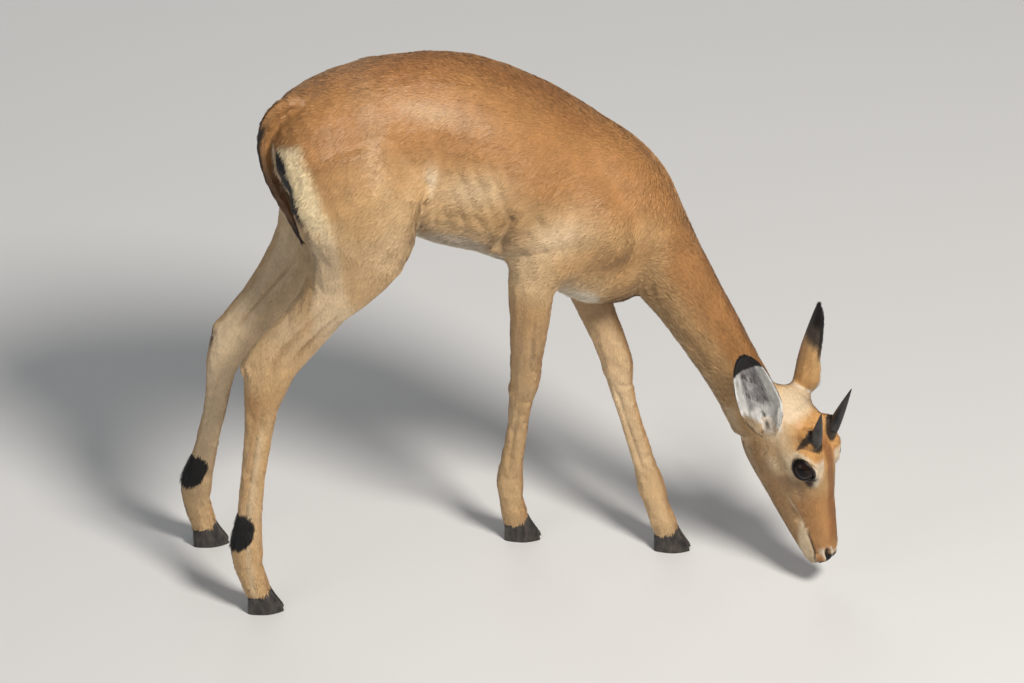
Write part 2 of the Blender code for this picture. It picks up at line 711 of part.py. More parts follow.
# Forelegs: a fat tube around each, from the elbow down.
for label, rows in (("fore_right", FORE_RIGHT), ("fore_left", FORE_LEFT)):
    lower = rows[2:-1] + [rows[-1][:2] + (-0.020,) + rows[-1][3:]]
    cutter = tube_cutter("leg_cutter", lower, LEG_SPARE, 0.0)
    room = tube_cutter("leg_room", lower, LEG_SPARE, GAP)
    nodes["leg_" + label] = take(flesh, "leg_" + label, cutter, room)

# Neck from trunk: a plane across the base of the neck.
cut_at = Vector((0.180, 0.058, 0.440))
cut_dir = Vector((0.72, -0.26, -0.64)).normalized()
side = turn(-20)
box = (0.40, 0.10, 0.16)
cutter = slab("neck_cutter", cut_at, cut_dir, side, box)
room = slab("neck_room", cut_at, cut_dir, side, box, GAP)
nodes["neck"] = take(flesh, "neck", cutter, room)

# Hind legs: all that hangs below the groin, parted down the middle.
for label, sign, heading in (("hind_right", -1, 8), ("hind_left", 1, 8)):
    side = turn(heading)
    along = Vector((-0.545, -0.08, -0.835)).normalized()
    middle = Vector((-0.215, 0.020, 0.535)) + side * sign * (0.110 + GAP)
    box = (0.80, 0.110, 0.300)
    cutter = slab("leg_cutter", middle, along, side, box)
    room = slab("leg_room", middle, along, side, box, GAP)
    nodes["leg_" + label] = take(flesh, "leg_" + label, cutter, room)

nodes["trunk"] = flesh
flesh.name = "trunk"

legs = {label: nodes["leg_" + label] for label, middle, heading, rows in FEET}
claws = build_feet(legs)

tail = tapered_tube("tail", spline(TAIL, 2), 1)
keep_largest(tail)
for host in ("trunk", "leg_hind_right", "leg_hind_left"):
    socket(nodes[host], tail)

eyes = []
horns = []
ears = []
for hand, sign in (("right", -1), ("left", 1)):
    middle = head_point(EYE_AT[0], EYE_AT[1], EYE_AT[2] * sign)
    eyes.append(ball("eye_" + hand, middle, (EYE_RADIUS,) * 3, rings=8, ring=12))
    horns.append(horn_mesh("horn_" + hand, sign))
ears.append(ear_mesh("ear_right", (0.010, 0.004, -0.037), (10, 93, -25), (0.604, -0.679, 0.417), 0, 0.46))
ears.append(ear_mesh("ear_left", (-0.006, -0.002, 0.032), (44, 102, 26), (0.52, 0.85, 0.00), -20, 0.58))
for eye, sign in zip(eyes, (-1, 1)):
    out = top_dir * EYE_OUT[0] + left_dir * EYE_OUT[1] * sign + nose_dir * EYE_OUT[2]
    middle = head_point(EYE_AT[0], EYE_AT[1], EYE_AT[2] * sign) + out.normalized() * EYE_DISH
    dish = ball("dish", middle, EYE_DISH_SIZES, HEAD_HEADING, HEAD_DIP, 8, 14, guide=True)
    boolean(nodes["head"], dish, "DIFFERENCE")
    bpy.data.objects.remove(dish)
for guest in eyes + horns + ears:
    keep_largest(guest)
    socket(nodes["head"], guest)

everything = list(nodes.values()) + claws + [tail] + eyes + horns + ears

# Origin: middle of the footprint of the whole, on the floor.
corners = np.array([tuple(vert.co) for piece in everything for vert in piece.data.vertices])
middle = (corners.min(axis=0) + corners.max(axis=0)) / 2
root = bpy.data.objects.new("impala", None)
parts.objects.link(root)
root.location = (-middle[0], -middle[1], -corners[:, 2].min())
for piece in everything:
    piece.parent = root

TAN = (0.45, 0.24, 0.11)
DARK = (0.03, 0.026, 0.024)
for piece in everything:
    paint(piece, TAN, 0.75)
for piece in claws + horns:
    paint(piece, DARK, 0.45)
for piece in eyes:
    paint(piece, (0.01, 0.008, 0.007), 0.06)
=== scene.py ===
"""Looks for the young impala: one skin under a coat of small tufts, with eyes, horns and hooves.

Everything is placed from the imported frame. The head's own frame, the ears, horns and claws
repeat the named sizes of the CAD.
"""

import contextlib
import json
import math
from functools import partial

import bmesh
import bpy
import numpy as np
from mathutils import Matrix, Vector

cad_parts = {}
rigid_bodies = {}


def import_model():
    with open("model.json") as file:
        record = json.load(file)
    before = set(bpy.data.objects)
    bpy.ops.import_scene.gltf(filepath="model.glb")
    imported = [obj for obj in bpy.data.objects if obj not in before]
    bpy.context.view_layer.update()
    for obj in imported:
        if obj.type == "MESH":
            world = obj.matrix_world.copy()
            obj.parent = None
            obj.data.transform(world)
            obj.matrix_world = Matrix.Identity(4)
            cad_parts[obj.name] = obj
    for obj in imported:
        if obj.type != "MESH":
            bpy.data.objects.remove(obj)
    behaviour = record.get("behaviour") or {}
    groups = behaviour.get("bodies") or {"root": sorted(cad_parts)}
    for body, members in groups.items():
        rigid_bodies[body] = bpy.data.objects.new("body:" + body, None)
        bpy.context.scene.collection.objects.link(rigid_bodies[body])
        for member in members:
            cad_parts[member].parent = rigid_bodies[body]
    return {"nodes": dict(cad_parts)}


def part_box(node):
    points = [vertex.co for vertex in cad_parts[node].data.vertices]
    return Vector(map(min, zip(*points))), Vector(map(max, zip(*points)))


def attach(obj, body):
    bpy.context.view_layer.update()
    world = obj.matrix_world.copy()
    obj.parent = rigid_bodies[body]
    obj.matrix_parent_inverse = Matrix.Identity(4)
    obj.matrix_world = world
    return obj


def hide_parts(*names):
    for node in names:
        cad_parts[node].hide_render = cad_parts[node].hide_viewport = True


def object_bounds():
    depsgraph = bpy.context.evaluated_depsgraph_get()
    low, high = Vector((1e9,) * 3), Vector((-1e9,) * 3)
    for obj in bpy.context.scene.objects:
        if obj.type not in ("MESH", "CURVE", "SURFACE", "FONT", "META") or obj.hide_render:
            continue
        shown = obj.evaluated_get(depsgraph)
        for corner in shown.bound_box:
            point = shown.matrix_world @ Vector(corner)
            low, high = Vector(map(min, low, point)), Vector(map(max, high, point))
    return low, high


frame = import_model()
cad_low, cad_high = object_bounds()
rng = np.random.default_rng(11)

# ---------------------------------------------------------------- sizes
FLESH = ("trunk", "neck", "head", "tail", "leg_hind_right", "leg_hind_left",
         "leg_fore_right", "leg_fore_left", "ear_right", "ear_left")
TRUNK, NECK, HEAD, TAIL, HIND_R, HIND_L, FORE_R, FORE_L, EAR_R, EAR_L = range(10)
HIND, EAR_PAIR = (HIND_R, HIND_L), (EAR_R, EAR_L)
LEG_SIDE = {HIND_R: -1, HIND_L: 1, FORE_R: -1, FORE_L: 1}   # 1 is the left side
SIDES = ((-1, "right"), (1, "left"))

SKIN_VOXEL = 0.0015
SKIN_SWELL = 0.0004          # closes the gaps between nodes
SKIN_SHARES = (0.34, 0.46)   # of its triangles kept: everywhere, then away from face and ears
SMOOTH_ROUNDS = (110, 70, 12, 12, 60, 60, 60, 60, 4, 4)
COAT_DEPTH = (0.0020, 0.0016, 0.0007, 0.0022, 0.0011, 0.0011, 0.0010, 0.0010, 0.0005, 0.0005)
SKIN_SHADE = 0.86            # the skin's colour, a little darker than the coat's
BARE_BELOW = 0.012           # no hair grows where the hooves stand
PIECE_TRIANGLES = 190000     # most triangles in one piece of the coat

HEAD_DIP = math.radians(75.0)
EYE_AT = (0.066, 0.037)      # nose-ward and top-ward of the poll
EYE_RADIUS = 0.0155
EYE_SINK = 0.0014            # of the skin within the opening, under the ball
EYE_OUT = (0.35, 0.93, 0.05)
LID_HALF = (0.0147, 0.0109)
LID_TILT = math.radians(28.0)
LID_RISE = 0.0006            # of the opening over the middle of the ball
LID_CORNER = 0.05            # how far the front corner is drawn out
HORN_AT = (0.028, 0.060, 0.020)
HORN_LEAN = (-0.0435, 0.027, 0.0125)
HORN_LENGTH, HORN_RADIUS, HORN_SUNK = 0.054, 0.0072, 0.006
EAR_LENGTH, EAR_HALF_WIDTH = 0.120, 0.026
EARS = {   # root in the head's frame, lean, where the opening faces
    EAR_R: ((0.010, 0.004, -0.037), (10, 93, -25), (0.604, -0.679, 0.417)),
    EAR_L: ((-0.006, -0.002, 0.032), (44, 102, 26), (0.52, 0.85, 0.00)),
}
EAR_OUTER = {EAR_R: 1.0, EAR_L: -1.0}
FEET = {"fore_right": -6.0, "fore_left": -8.0, "hind_right": 2.0, "hind_left": 4.0}
CORONET_FRONT, CORONET_BACK, HOOF_LENGTH, CLAW_WIDTH = 0.036, 0.020, 0.046, 0.0145
HEAD_FROM = 0.2              # X in front of which the fields of the face count
GLAND_HEIGHT = 0.118         # of the middle of the black tufts over the hind fetlocks
RUMP_HEADING = math.radians(10.0)
TAIL_BEND = 0.662            # height where the tail leaves the croup


# ---------------------------------------------------------------- helpers
def unit(v):
    v = np.asarray(v, dtype=float)
    return v / np.maximum(np.linalg.norm(v, axis=-1, keepdims=True), 1e-12)


def ease(x, low, high):
    t = np.clip((x - low) / (high - low), 0.0, 1.0)
    return t * t * (3 - 2 * t)


def rise_fall(x, a, b, c, d):
    """Up between a and b, down again between d and c."""
    return ease(x, a, b) * ease(x, c, d)


def bell(x, middle, width):
    return np.exp(-((x - middle) / width) ** 2)


def blob(x, x0, wide, y, y0, tall):
    return np.exp(-((x - x0) / wide) ** 2 - ((y - y0) / tall) ** 2)


def mixed(a, b, share):
    return a + (b - a) * np.asarray(share)[..., None]


def get(items, name, width, kind=np.float32):
    found = np.empty(len(items) * width, kind)
    items.foreach_get(name, found)
    return found.reshape(-1, width) if width > 1 else found


def points_of(mesh):
    return get(mesh.vertices, "co", 3).astype(float)


def normals_of(mesh):
    return get(mesh.vertex_normals, "vector", 3).astype(float)


def regions_of(mesh):
    return np.rint(get(mesh.attributes["region"].data, "value", 1)).astype(int)


def edges_of(mesh):
    return tuple(get(mesh.edges, "vertices", 2, np.int32).T)


def move_points(mesh, points):
    mesh.vertices.foreach_set("co", points.astype(np.float32).ravel())
    mesh.update()


@contextlib.contextmanager
def editing(mesh):
    """A mesh opened for edits, which are written back."""
    shell = bmesh.new()
    shell.from_mesh(mesh)
    shell.verts.ensure_lookup_table()
    yield shell
    shell.to_mesh(mesh)
    shell.free()


def mesh_from(name, points, triangles):
    mesh = bpy.data.meshes.new(name)
    mesh.vertices.add(len(points))
    mesh.vertices.foreach_set("co", np.asarray(points, np.float32).ravel())
    mesh.loops.add(3 * len(triangles))
    mesh.loops.foreach_set("vertex_index", np.asarray(triangles, np.int32).ravel())
    mesh.polygons.add(len(triangles))
    mesh.polygons.foreach_set("loop_start", np.arange(0, 3 * len(triangles), 3, dtype=np.int32))
    mesh.update(calc_edges=True)
    mesh.shade_smooth()
    return mesh


def add(name, data):
    piece = bpy.data.objects.new(name, data)
    bpy.context.scene.collection.objects.link(piece)
    return piece


def paint_points(mesh, values):
    """A colour on each vertex."""
    layer = mesh.color_attributes.new("fur", "FLOAT_COLOR", "POINT")
    colours = np.ones((len(mesh.vertices), 4), np.float32)
    colours[:, :3] = values
    layer.data.foreach_set("color", colours.ravel())


def apply_changes(piece):
    """The piece with its modifiers made part of the mesh."""
    bpy.context.view_layer.update()
    graph = bpy.context.evaluated_depsgraph_get()
    mesh = bpy.data.meshes.new_from_object(piece.evaluated_get(graph))
    piece.modifiers.clear()
    piece.data = mesh
    return mesh


def spread(values, edges, rounds, hold=1.0):
    """Evens a field out over the mesh's edges."""
    first, second = edges
    count = len(values)
    degree = np.maximum(np.bincount(np.concatenate(edges), minlength=count), 1)
    values = np.array(values, dtype=float).reshape(count, -1)
    for _ in range(rounds):
        total = np.empty_like(values)
        for k in range(values.shape[1]):
            total[:, k] = np.bincount(first, values[second, k], count)
            total[:, k] += np.bincount(second, values[first, k], count)
        values += 0.6 * hold * (total / degree[:, None] - values)
    return values


def relax(points, edges, rounds):
    """Smooths without shrinking; rounds is a number for each point."""
    for index in range(int(rounds.max())):
        hold = (rounds > index)[:, None] * 1.0
        for weight in (1.0, -1.03):
            points = points + weight * (spread(points, edges, 1, hold) - points)
    return points


# ---------------------------------------------------------------- the head's frame
eyes_at = {sign: np.mean(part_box("eye_" + side_name), axis=0) for sign, side_name in SIDES}
left = unit((eyes_at[1] - eyes_at[-1]) * (1, 1, 0))
ahead = np.array([left[1], -left[0], 0.0])
nose = ahead * math.cos(HEAD_DIP) - np.array([0, 0, 1.0]) * math.sin(HEAD_DIP)
top = np.cross(nose, left)
poll = (eyes_at[1] + eyes_at[-1]) / 2 - nose * EYE_AT[0] - top * EYE_AT[1]


def head_point(along, up, side):
    return poll + nose * along + top * up + left * side


def in_head(points):
    """Along the nose, up and to the left, from the poll."""
    away = points - poll
    return away @ nose, away @ top, away @ left


def horn_frame(sign):
    """A horn's base and direction."""
    lean = unit(nose * HORN_LEAN[0] + top * HORN_LEAN[1] + left * HORN_LEAN[2] * sign)
    return head_point(*HORN_AT[:2], HORN_AT[2] * sign), lean


ear_frames = {}
for ear, (root, lean, facing) in EARS.items():
    axis = unit(top * lean[0] - nose * lean[1] + left * lean[2])
    opening = top * facing[0] + left * facing[1] - nose * facing[2]
    opening = unit(opening - axis * (opening @ axis))
    ear_frames[ear] = (head_point(*root), axis, opening, np.cross(axis, opening))


def in_ear(ear, points):
    """Share of the ear's length, then distance across and towards its opening."""
    root, axis, opening, across = ear_frames[ear]
    away = points - root
    return (away @ axis) / EAR_LENGTH, away @ across, away @ opening


eye_frames = {}
for sign, centre in eyes_at.items():
    out = unit(top * EYE_OUT[0] + left * EYE_OUT[1] * sign + nose * EYE_OUT[2])
    flat = unit(nose - out * (nose @ out))
    rise = np.cross(flat, out) * sign
    along = flat * math.cos(LID_TILT) + rise * math.sin(LID_TILT)
    eye_frames[sign] = (centre, out, along, np.cross(along, out) * sign)


def in_eye(sign, points):
    centre, out, along, rise = eye_frames[sign]
    away = points - centre
    return away @ along, away @ rise, away @ out


def lid_shape(u, v):
    """1 on the edge of the eye's opening, whose front corner is drawn out."""
    flat, tall = u / LID_HALF[0], (v - LID_RISE) / LID_HALF[1]
    size = np.hypot(flat, tall)
    corner = np.maximum(flat / np.maximum(size, 1e-9), 0.0) ** 8
    return size / (1 + LID_CORNER * corner)


def mouth_line(along):
    """Height of the line between the lips."""
    return np.interp(along, (0.128, 0.145, 0.160, 0.176, 0.190, 0.202, 0.212),
                     (0.0115, 0.0130, 0.0142, 0.0155, 0.0160, 0.0130, 0.0080))


def nostril(along, up, off):
    """Distance from a nostril's slit: under 1 inside it."""
    ahead_by, out_by = along - 0.1945, off - 0.0092
    slit = np.hypot(ahead_by / 0.0062, (out_by + 0.22 * ahead_by) / 0.0024)
    return slit + 3.0 * ease(up, 0.020, 0.012)


def beside(points, start, end):
    """Share along a segment, and distance from it."""
    start, end = np.array(start), np.array(end)
    way = end - start
    share = np.clip((points - start) @ way / (way @ way), 0.0, 1.0)
    return share, np.linalg.norm(points - start - share[:, None] * way, axis=1)


def centreline(node, steps):
    """Middles of a node's level slices, as (heights, middles)."""
    points = points_of(frame["nodes"][node].data)
    low, high = points[:, 2].min(), points[:, 2].max()
    places = np.linspace(low, high, steps)
    reach = 1.1 * (high - low) / steps
    middles = []
    for place in places:
        slab = points[np.abs(points[:, 2] - place) < reach]
        middles.append((slab.max(axis=0) + slab.min(axis=0)) / 2)
    middles = np.array(middles)
    for _ in range(3):
        middles[1:-1] = (middles[:-2] + 2 * middles[1:-1] + middles[2:]) / 4
    return places, middles


def along_line(line, values):
    places, middles = line
    return np.stack([np.interp(values, places, middles[:, k]) for k in range(3)], 1)


neck_line, tail_line = centreline("neck", 14), centreline("tail", 16)
leg_lines = {leg: centreline(FLESH[leg], 26) for leg in LEG_SIDE}
neck_up = unit(neck_line[1][-3] - neck_line[1][1])


# ---------------------------------------------------------------- skin
def build_source():
    """All flesh as one object, slightly swollen, each point marked with its node."""
    points, triangles, regions = [], [], []

    def take(shell, region, swell, place):
        start = len(points)
        points.extend([tuple(v.co + v.normal * swell + Vector(place)) for v in shell.verts])
        triangles.extend([tuple(v.index + start for v in f.verts) for f in shell.faces])
        regions.extend([region] * len(shell.verts))
        shell.free()

    for region, name in enumerate(FLESH):
        shell = bmesh.new()
        shell.from_mesh(frame["nodes"][name].data)
        bmesh.ops.remove_doubles(shell, verts=shell.verts, dist=0.00001)
        bmesh.ops.triangulate(shell, faces=shell.faces)
        shell.normal_update()
        shell.verts.ensure_lookup_table()
        take(shell, region, SKIN_SWELL, (0, 0, 0))
    # the eye sockets and the horns' roots are filled
    plugs = [(place, EYE_RADIUS - EYE_SINK) for place in eyes_at.values()]
    plugs += [(head_point(HORN_AT[0] + 0.004, HORN_AT[1] - 0.0085, HORN_AT[2] * sign), 0.0118)
              for sign, _ in SIDES]
    for place, radius in plugs:
        shell = bmesh.new()
        bmesh.ops.create_icosphere(shell, subdivisions=3, radius=radius)
        take(shell, HEAD, 0.0, place)
    mesh = mesh_from("skin_source", points, triangles)
    layer = mesh.attributes.new("region", "FLOAT", "POINT")
    layer.data.foreach_set("value", np.array(regions, np.float32))
    return add("skin_source", mesh)


def region_reader(source):
    """Geometry nodes that give each point the region of the nearest source surface."""
    tree = bpy.data.node_groups.new("region_reader", "GeometryNodeTree")
    for way in ("INPUT", "OUTPUT"):
        tree.interface.new_socket("Geometry", in_out=way, socket_type="NodeSocketGeometry")
    start, end = (tree.nodes.new("NodeGroup" + way) for way in ("Input", "Output"))
    info, named, nearest, store = (tree.nodes.new("GeometryNode" + kind) for kind in (
        "ObjectInfo", "InputNamedAttribute", "SampleNearestSurface", "StoreNamedAttribute"))
    info.inputs["Object"].default_value = source
    named.data_type = nearest.data_type = store.data_type = "FLOAT"
    store.domain = "POINT"
    named.inputs["Name"].default_value = store.inputs["Name"].default_value = "region"
    link = tree.links.new
    link(info.outputs["Geometry"], nearest.inputs["Mesh"])
    link(next(s for s in named.outputs if s.enabled), nearest.inputs["Value"])
    link(start.outputs[0], store.inputs["Geometry"])
    link(nearest.outputs["Value"], store.inputs["Value"])
    link(store.outputs["Geometry"], end.inputs[0])
    return tree


def seam_rounds(points):
    """Extra evening where the shoulder, the throat and the neck's ends meet."""
    x, _, z = points.T
    rounds = 190 * ease(x, 0.055, 0.085) * ease(x, 0.235, 0.190)
    rounds = rounds * ease(z, 0.40, 0.44) * ease(z, 0.67, 0.63)
    along, up, _ = in_head(points)
    throat = rise_fall(along, 0.050, 0.020, -0.060, -0.020) * ease(up, 0.016, -0.004)
    return np.maximum(rounds, 40 * throat * (x > 0.18))


def even_out(points, edges, rounds):
    """Plain smoothing, which fills furrows."""
    for index in range(int(rounds.max())):
        hold = (rounds > index)[:, None] * 1.0
        points = spread(points, edges, 1, hold)
    return points


def thin_out(skin, share, pinned=None):
    change = skin.modifiers.new("thin", "DECIMATE")
    change.ratio = share
    if pinned is not None:
        body = skin.vertex_groups.new(name="thin")
        body.add(np.flatnonzero(~pinned).tolist(), 1.0, "REPLACE")
        body.add(np.flatnonzero(pinned).tolist(), 0.0, "REPLACE")
        change.vertex_group = "thin"
        change.vertex_group_factor = 1.0
    mesh = apply_changes(skin)
    skin.vertex_groups.clear()
    return mesh


def near_eyes(points, reach):
    away = [np.linalg.norm(points - centre, axis=1) for centre in eyes_at.values()]
    return np.minimum(*away) < reach


def build_skin():
    """One closed surface through all the flesh, finest on head and ears."""
    source = build_source()
    skin = add("skin", source.data.copy())
    change = skin.modifiers.new("remesh", "REMESH")
    change.mode = "VOXEL"
    change.voxel_size = SKIN_VOXEL
    skin.modifiers.new("regions", "NODES").node_group = region_reader(source)
    mesh = apply_changes(skin)
    bpy.data.objects.remove(source)
    regions, edges, points = regions_of(mesh), edges_of(mesh), points_of(mesh)
    rounds = spread(np.array(SMOOTH_ROUNDS, float)[regions], edges, 12)[:, 0]
    points = relax(points, edges, rounds)
    points = even_out(points, edges, spread(seam_rounds(points), edges, 12)[:, 0])
    move_points(mesh, points)
    normals = normals_of(mesh)
    points = points - normals * spread(np.array(COAT_DEPTH)[regions], edges, 25)
    points = sculpt_body(points, normals, regions)
    points = sculpt_legs(points, normals, regions)
    move_points(mesh, points)
    mesh = thin_out(skin, SKIN_SHARES[0])
    regions, points = regions_of(mesh), points_of(mesh)
    muzzle = (regions == HEAD) & (in_head(points)[0] > 0.165)
    thin_out(skin, SKIN_SHARES[1], (regions >= EAR_R) | muzzle | near_eyes(points, 0.030))
    return skin


def subdivide_face(mesh):
    """Halves the triangles round the eyes and on the muzzle."""
    points = points_of(mesh)
    near = (in_head(points)[0] > 0.176) & (points[:, 2] < 0.20) & (points[:, 0] > HEAD_FROM)
    near |= near_eyes(points, 0.025)
    with editing(mesh) as shell:
        edges = [e for e in shell.edges if near[e.verts[0].index] and near[e.verts[1].index]]
        bmesh.ops.subdivide_edges(shell, edges=edges, cuts=1, use_grid_fill=True, smooth=0.4)
        bmesh.ops.triangulate(shell, faces=shell.faces)


# Forms of the face: along the nose and reach, upward and reach, push.
FACE_FORMS = (
    (0.062, 0.024, 0.0165, 0.0032, -0.0013),   # groove above the jaw muscle
    (0.112, 0.016, 0.0060, 0.0080, -0.0012),   # hollow of the jaw
    (0.165, 0.022, 0.0040, 0.0070, 0.0008),    # lip
    (0.050, 0.012, 0.0600, 0.0070, 0.0012),    # brow between eye and horn
    (0.036, 0.010, 0.0340, 0.0100, -0.0016),   # temple hollow
)


def sculpt_head(points, normals):
    """Lids, nostrils, mouth line and the small forms of the face."""
    along, up, side = in_head(points)
    off = np.abs(side)
    push = np.zeros(len(points))
    for lower, wide, rise in ((0.0, 0.0012, -0.0016), (-0.0032, 0.0020, 0.0007),
                              (0.0032, 0.0020, 0.0005)):
        push += rise * bell(up, mouth_line(along) - lower, wide) * ease(along, 0.136, 0.150)
    slit = nostril(along, up, off)
    push += 0.0009 * bell(slit, 1.7, 0.45) - 0.0042 * np.exp(-slit ** 2)
    for place, wide, height, tall, rise in FACE_FORMS:
        push += rise * blob(along, place, wide, up, height, tall)
    # jaw muscle, cheek ridge and its wrinkles
    push += 0.0024 * blob(along, 0.060, 0.027, up, -0.006, 0.019) * ease(off, 0.012, 0.022)
    push += 0.0012 * blob(along, 0.110, 0.017, up - 0.65 * (0.115 - along), 0.022, 0.006)
    wrinkles = np.sin(along * 950 + up * 420)
    push += 0.0004 * wrinkles * blob(along, 0.112, 0.013, up, 0.015, 0.008)
    # dip between the nostrils with the split of the upper lip, pits before the eyes' corners
    push -= (along > 0.196) * 0.0011 * blob(side, 0.0, 0.0012, up, 0.012, 0.012)
    for sign in eye_frames:
        u, v, w = in_eye(sign, points)
        push -= (side * sign > 0) * (w > 0) * 0.0017 * blob(u, 0.0215, 0.0060, v, -0.0005, 0.0030)
    face = (along > -0.02) & (points[:, 0] > HEAD_FROM)
    points = points + normals * (push * face)[:, None]
    for sign, (centre, out, _, _) in eye_frames.items():
        u, v, w = in_eye(sign, points)
        around, shape = u ** 2 + v ** 2, lid_shape(u, v)
        near = (w > -0.004) & (shape < 1.9) & (np.linalg.norm(points - centre, axis=1) < 0.030)
        ball = np.sqrt(np.maximum(EYE_RADIUS ** 2 - around, 0))
        lid = np.sqrt((EYE_RADIUS + 0.0015) ** 2 - np.minimum(around, 0.0152 ** 2))
        lifted = w + (lid - w) * ease(shape, 1.50, 1.06)
        lifted -= 0.0009 * bell(shape, 1.36, 0.07) * ease(v, -0.006, 0.002)
        w_new = np.where(shape < 1.0, np.minimum(w, ball - EYE_SINK), lifted)
        points = points + out * ((w_new - w) * near)[:, None]
    return points


# Furrows and ridges of the body's near side, mirrored on the far side:
# start and end as (x, z), width, depth or height.
FOLDS = (
    ((-0.017, 0.491), (-0.002, 0.538), 0.0068, 0.0060),
    ((-0.013, 0.497), (0.030, 0.534), 0.0085, 0.0036),
    ((-0.004, 0.545), (0.018, 0.552), 0.0130, 0.0026),
    ((-0.101, 0.596), (-0.104, 0.570), 0.0065, 0.0028),
    ((-0.104, 0.570), (-0.110, 0.528), 0.0080, 0.0070),
    ((-0.125, 0.640), (-0.105, 0.628), 0.0220, 0.0022),
)
SWELLS = (
    ((0.024, 0.503), (0.076, 0.514), 0.021, 0.0052),
    ((-0.120, 0.585), (-0.124, 0.545), 0.012, 0.0030),
    ((-0.172, 0.690), (-0.150, 0.676), 0.017, 0.0026),
)
BODY_SIDE = (0.30, 0.95, 0.0)   # sideways of neck and chest, to the left


def sculpt_body(points, normals, regions):
    """Elbow, shoulder and flank folds, the hip and a hint of ribs."""
    x, y, z = points.T
    trunk = (regions == TRUNK) | (regions == NECK)
    push = np.zeros(len(points))
    middle = np.interp(x, (-0.28, -0.05, 0.10, 0.20), (-0.034, -0.022, 0.010, 0.018))
    for sign in (-1, 1):
        lateral = trunk & ((y - middle) * sign > 0.01)
        for table, way in ((FOLDS, -1), (SWELLS, 1)):
            for start, end, width, depth in table:
                gap = beside(points[:, ::2], start, end)[1]
                push += lateral * way * depth * np.exp(-(gap / width) ** 2)
        ribs = np.sin((x + 0.35 * (z - 0.55)) * 330)
        ribs = ribs * ease(x, -0.085, -0.055) * ease(x, 0.012, -0.008)
        push += lateral * 0.00030 * ribs * ease(z, 0.515, 0.54) * ease(z, 0.640, 0.61)
    # groove along the lower side of the neck
    aside = np.cross(neck_up, BODY_SIDE)
    aside = (points - along_line(neck_line, z)) @ unit(aside) * -np.sign(aside[0])
    low = rise_fall(z, 0.24, 0.28, 0.44, 0.40)
    push -= (regions == NECK) * 0.0016 * low * bell(aside, 0.010, 0.005)
    return points + normals * push[:, None]


def sculpt_legs(points, normals, regions):
    """Tendons behind the cannon bones, hock hollows, creases and knees."""
    push = np.zeros(len(points))
    for leg, side in LEG_SIDE.items():
        here = regions == leg
        z = points[here, 2]
        back = points[here, 0] - along_line(leg_lines[leg], z)[:, 0]
        facing = normals[here, 0]
        flank = ease(np.abs(normals[here, 1]), 0.40, 0.85)
        outer = ease(normals[here, 1] * side, 0.2, 0.7)
        if leg in HIND:
            cannon = rise_fall(z, 0.125, 0.15, 0.30, 0.26)
            form = -(flank * 0.0017 * cannon * bell(back, -0.0050, 0.0030))
            # between the tendon behind and the shank, from the hock upwards
            tendon = rise_fall(z, 0.335, 0.355, 0.455, 0.42)
            form -= flank * 0.0034 * tendon * bell(back, -0.0150, 0.0042)
            form += 0.0036 * bell(z, 0.340, 0.010) * ease(-facing, 0.45, 0.9)
            form += outer * 0.0012 * bell(z, 0.322, 0.012) * bell(back, 0.004, 0.006)
            crease = bell(back, 0.008, 0.0030) * ease(z, 0.360, 0.375) * ease(z, 0.430, 0.410)
            form -= outer * 0.0030 * crease
        else:
            cannon = rise_fall(z, 0.105, 0.13, 0.235, 0.21)
            form = -(flank * 0.0016 * cannon * bell(back, -0.0040, 0.0030))
            form += 0.0010 * bell(z, 0.252, 0.018) * ease(facing, 0.2, 0.7)
            form += 0.0016 * bell(z, 0.246, 0.009) * ease(-facing, 0.4, 0.9)
            form -= flank * 0.0012 * bell(z, 0.232, 0.004) * bell(back, 0.006, 0.006)
            upper = rise_fall(z, 0.275, 0.30, 0.42, 0.38)
            form -= outer * 0.0016 * upper * bell(back, 0.004, 0.0036)
        # the joint over the pastern stands out
        push[here] = form + 0.0008 * bell(z, 0.082, 0.012) * ease(np.abs(facing), 0.3, 0.8)
    return points + normals * push[:, None]


skin = build_skin()
subdivide_face(skin.data)
skin_mesh = skin.data
skin_mesh.update()
region_of = regions_of(skin_mesh)
skin_points = points_of(skin_mesh)
tail_low, tail_high = np.array(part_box("tail"))
stray = (skin_points < tail_low - 0.004) | (skin_points > tail_high + 0.004)
region_of[(region_of == TAIL) & stray.any(axis=1)] = TRUNK
skin_points = sculpt_head(skin_points, normals_of(skin_mesh))
move_points(skin_mesh, skin_points)
skin_mesh.shade_smooth()
skin_normals, skin_edges = normals_of(skin_mesh), edges_of(skin_mesh)
print("skin", len(skin_mesh.polygons), "triangles")


# ---------------------------------------------------------------- fields over the skin
def trunk_levels():
    """Top and bottom of the trunk along X."""
    x, _, z = points_of(frame["nodes"]["trunk"].data).T
    places = np.linspace(x.min() + 0.01, x.max() - 0.03, 24)
    slabs = [z[np.abs(x - place) < 0.02] for place in places]
    return places, [slab.max() for slab in slabs], [slab.min() for slab in slabs]


def dorsal_level():
    """1 along the back, -1 along the belly; evened out over the joins."""
    x, _, z = skin_points.T
    places, tops, bottoms = trunk_levels()
    high, low = np.interp(x, places, tops), np.interp(x, places, bottoms)
    low = np.maximum(low, high - 0.27)
    level = (z - (high + low) / 2) / ((high - low) / 2)
    neck = region_of == NECK
    facing = unit(np.cross(neck_up, BODY_SIDE))
    level[neck] = skin_normals[neck] @ (facing * np.sign(facing[0]))
    head = np.isin(region_of, (HEAD, *EAR_PAIR))
    level[head] = skin_normals[head] @ top
    legs = np.isin(region_of, tuple(LEG_SIDE))
    level[legs] = np.clip(level[legs], -0.45, -0.1)
    return spread(np.clip(level, -1, 1), skin_edges, 30)[:, 0]


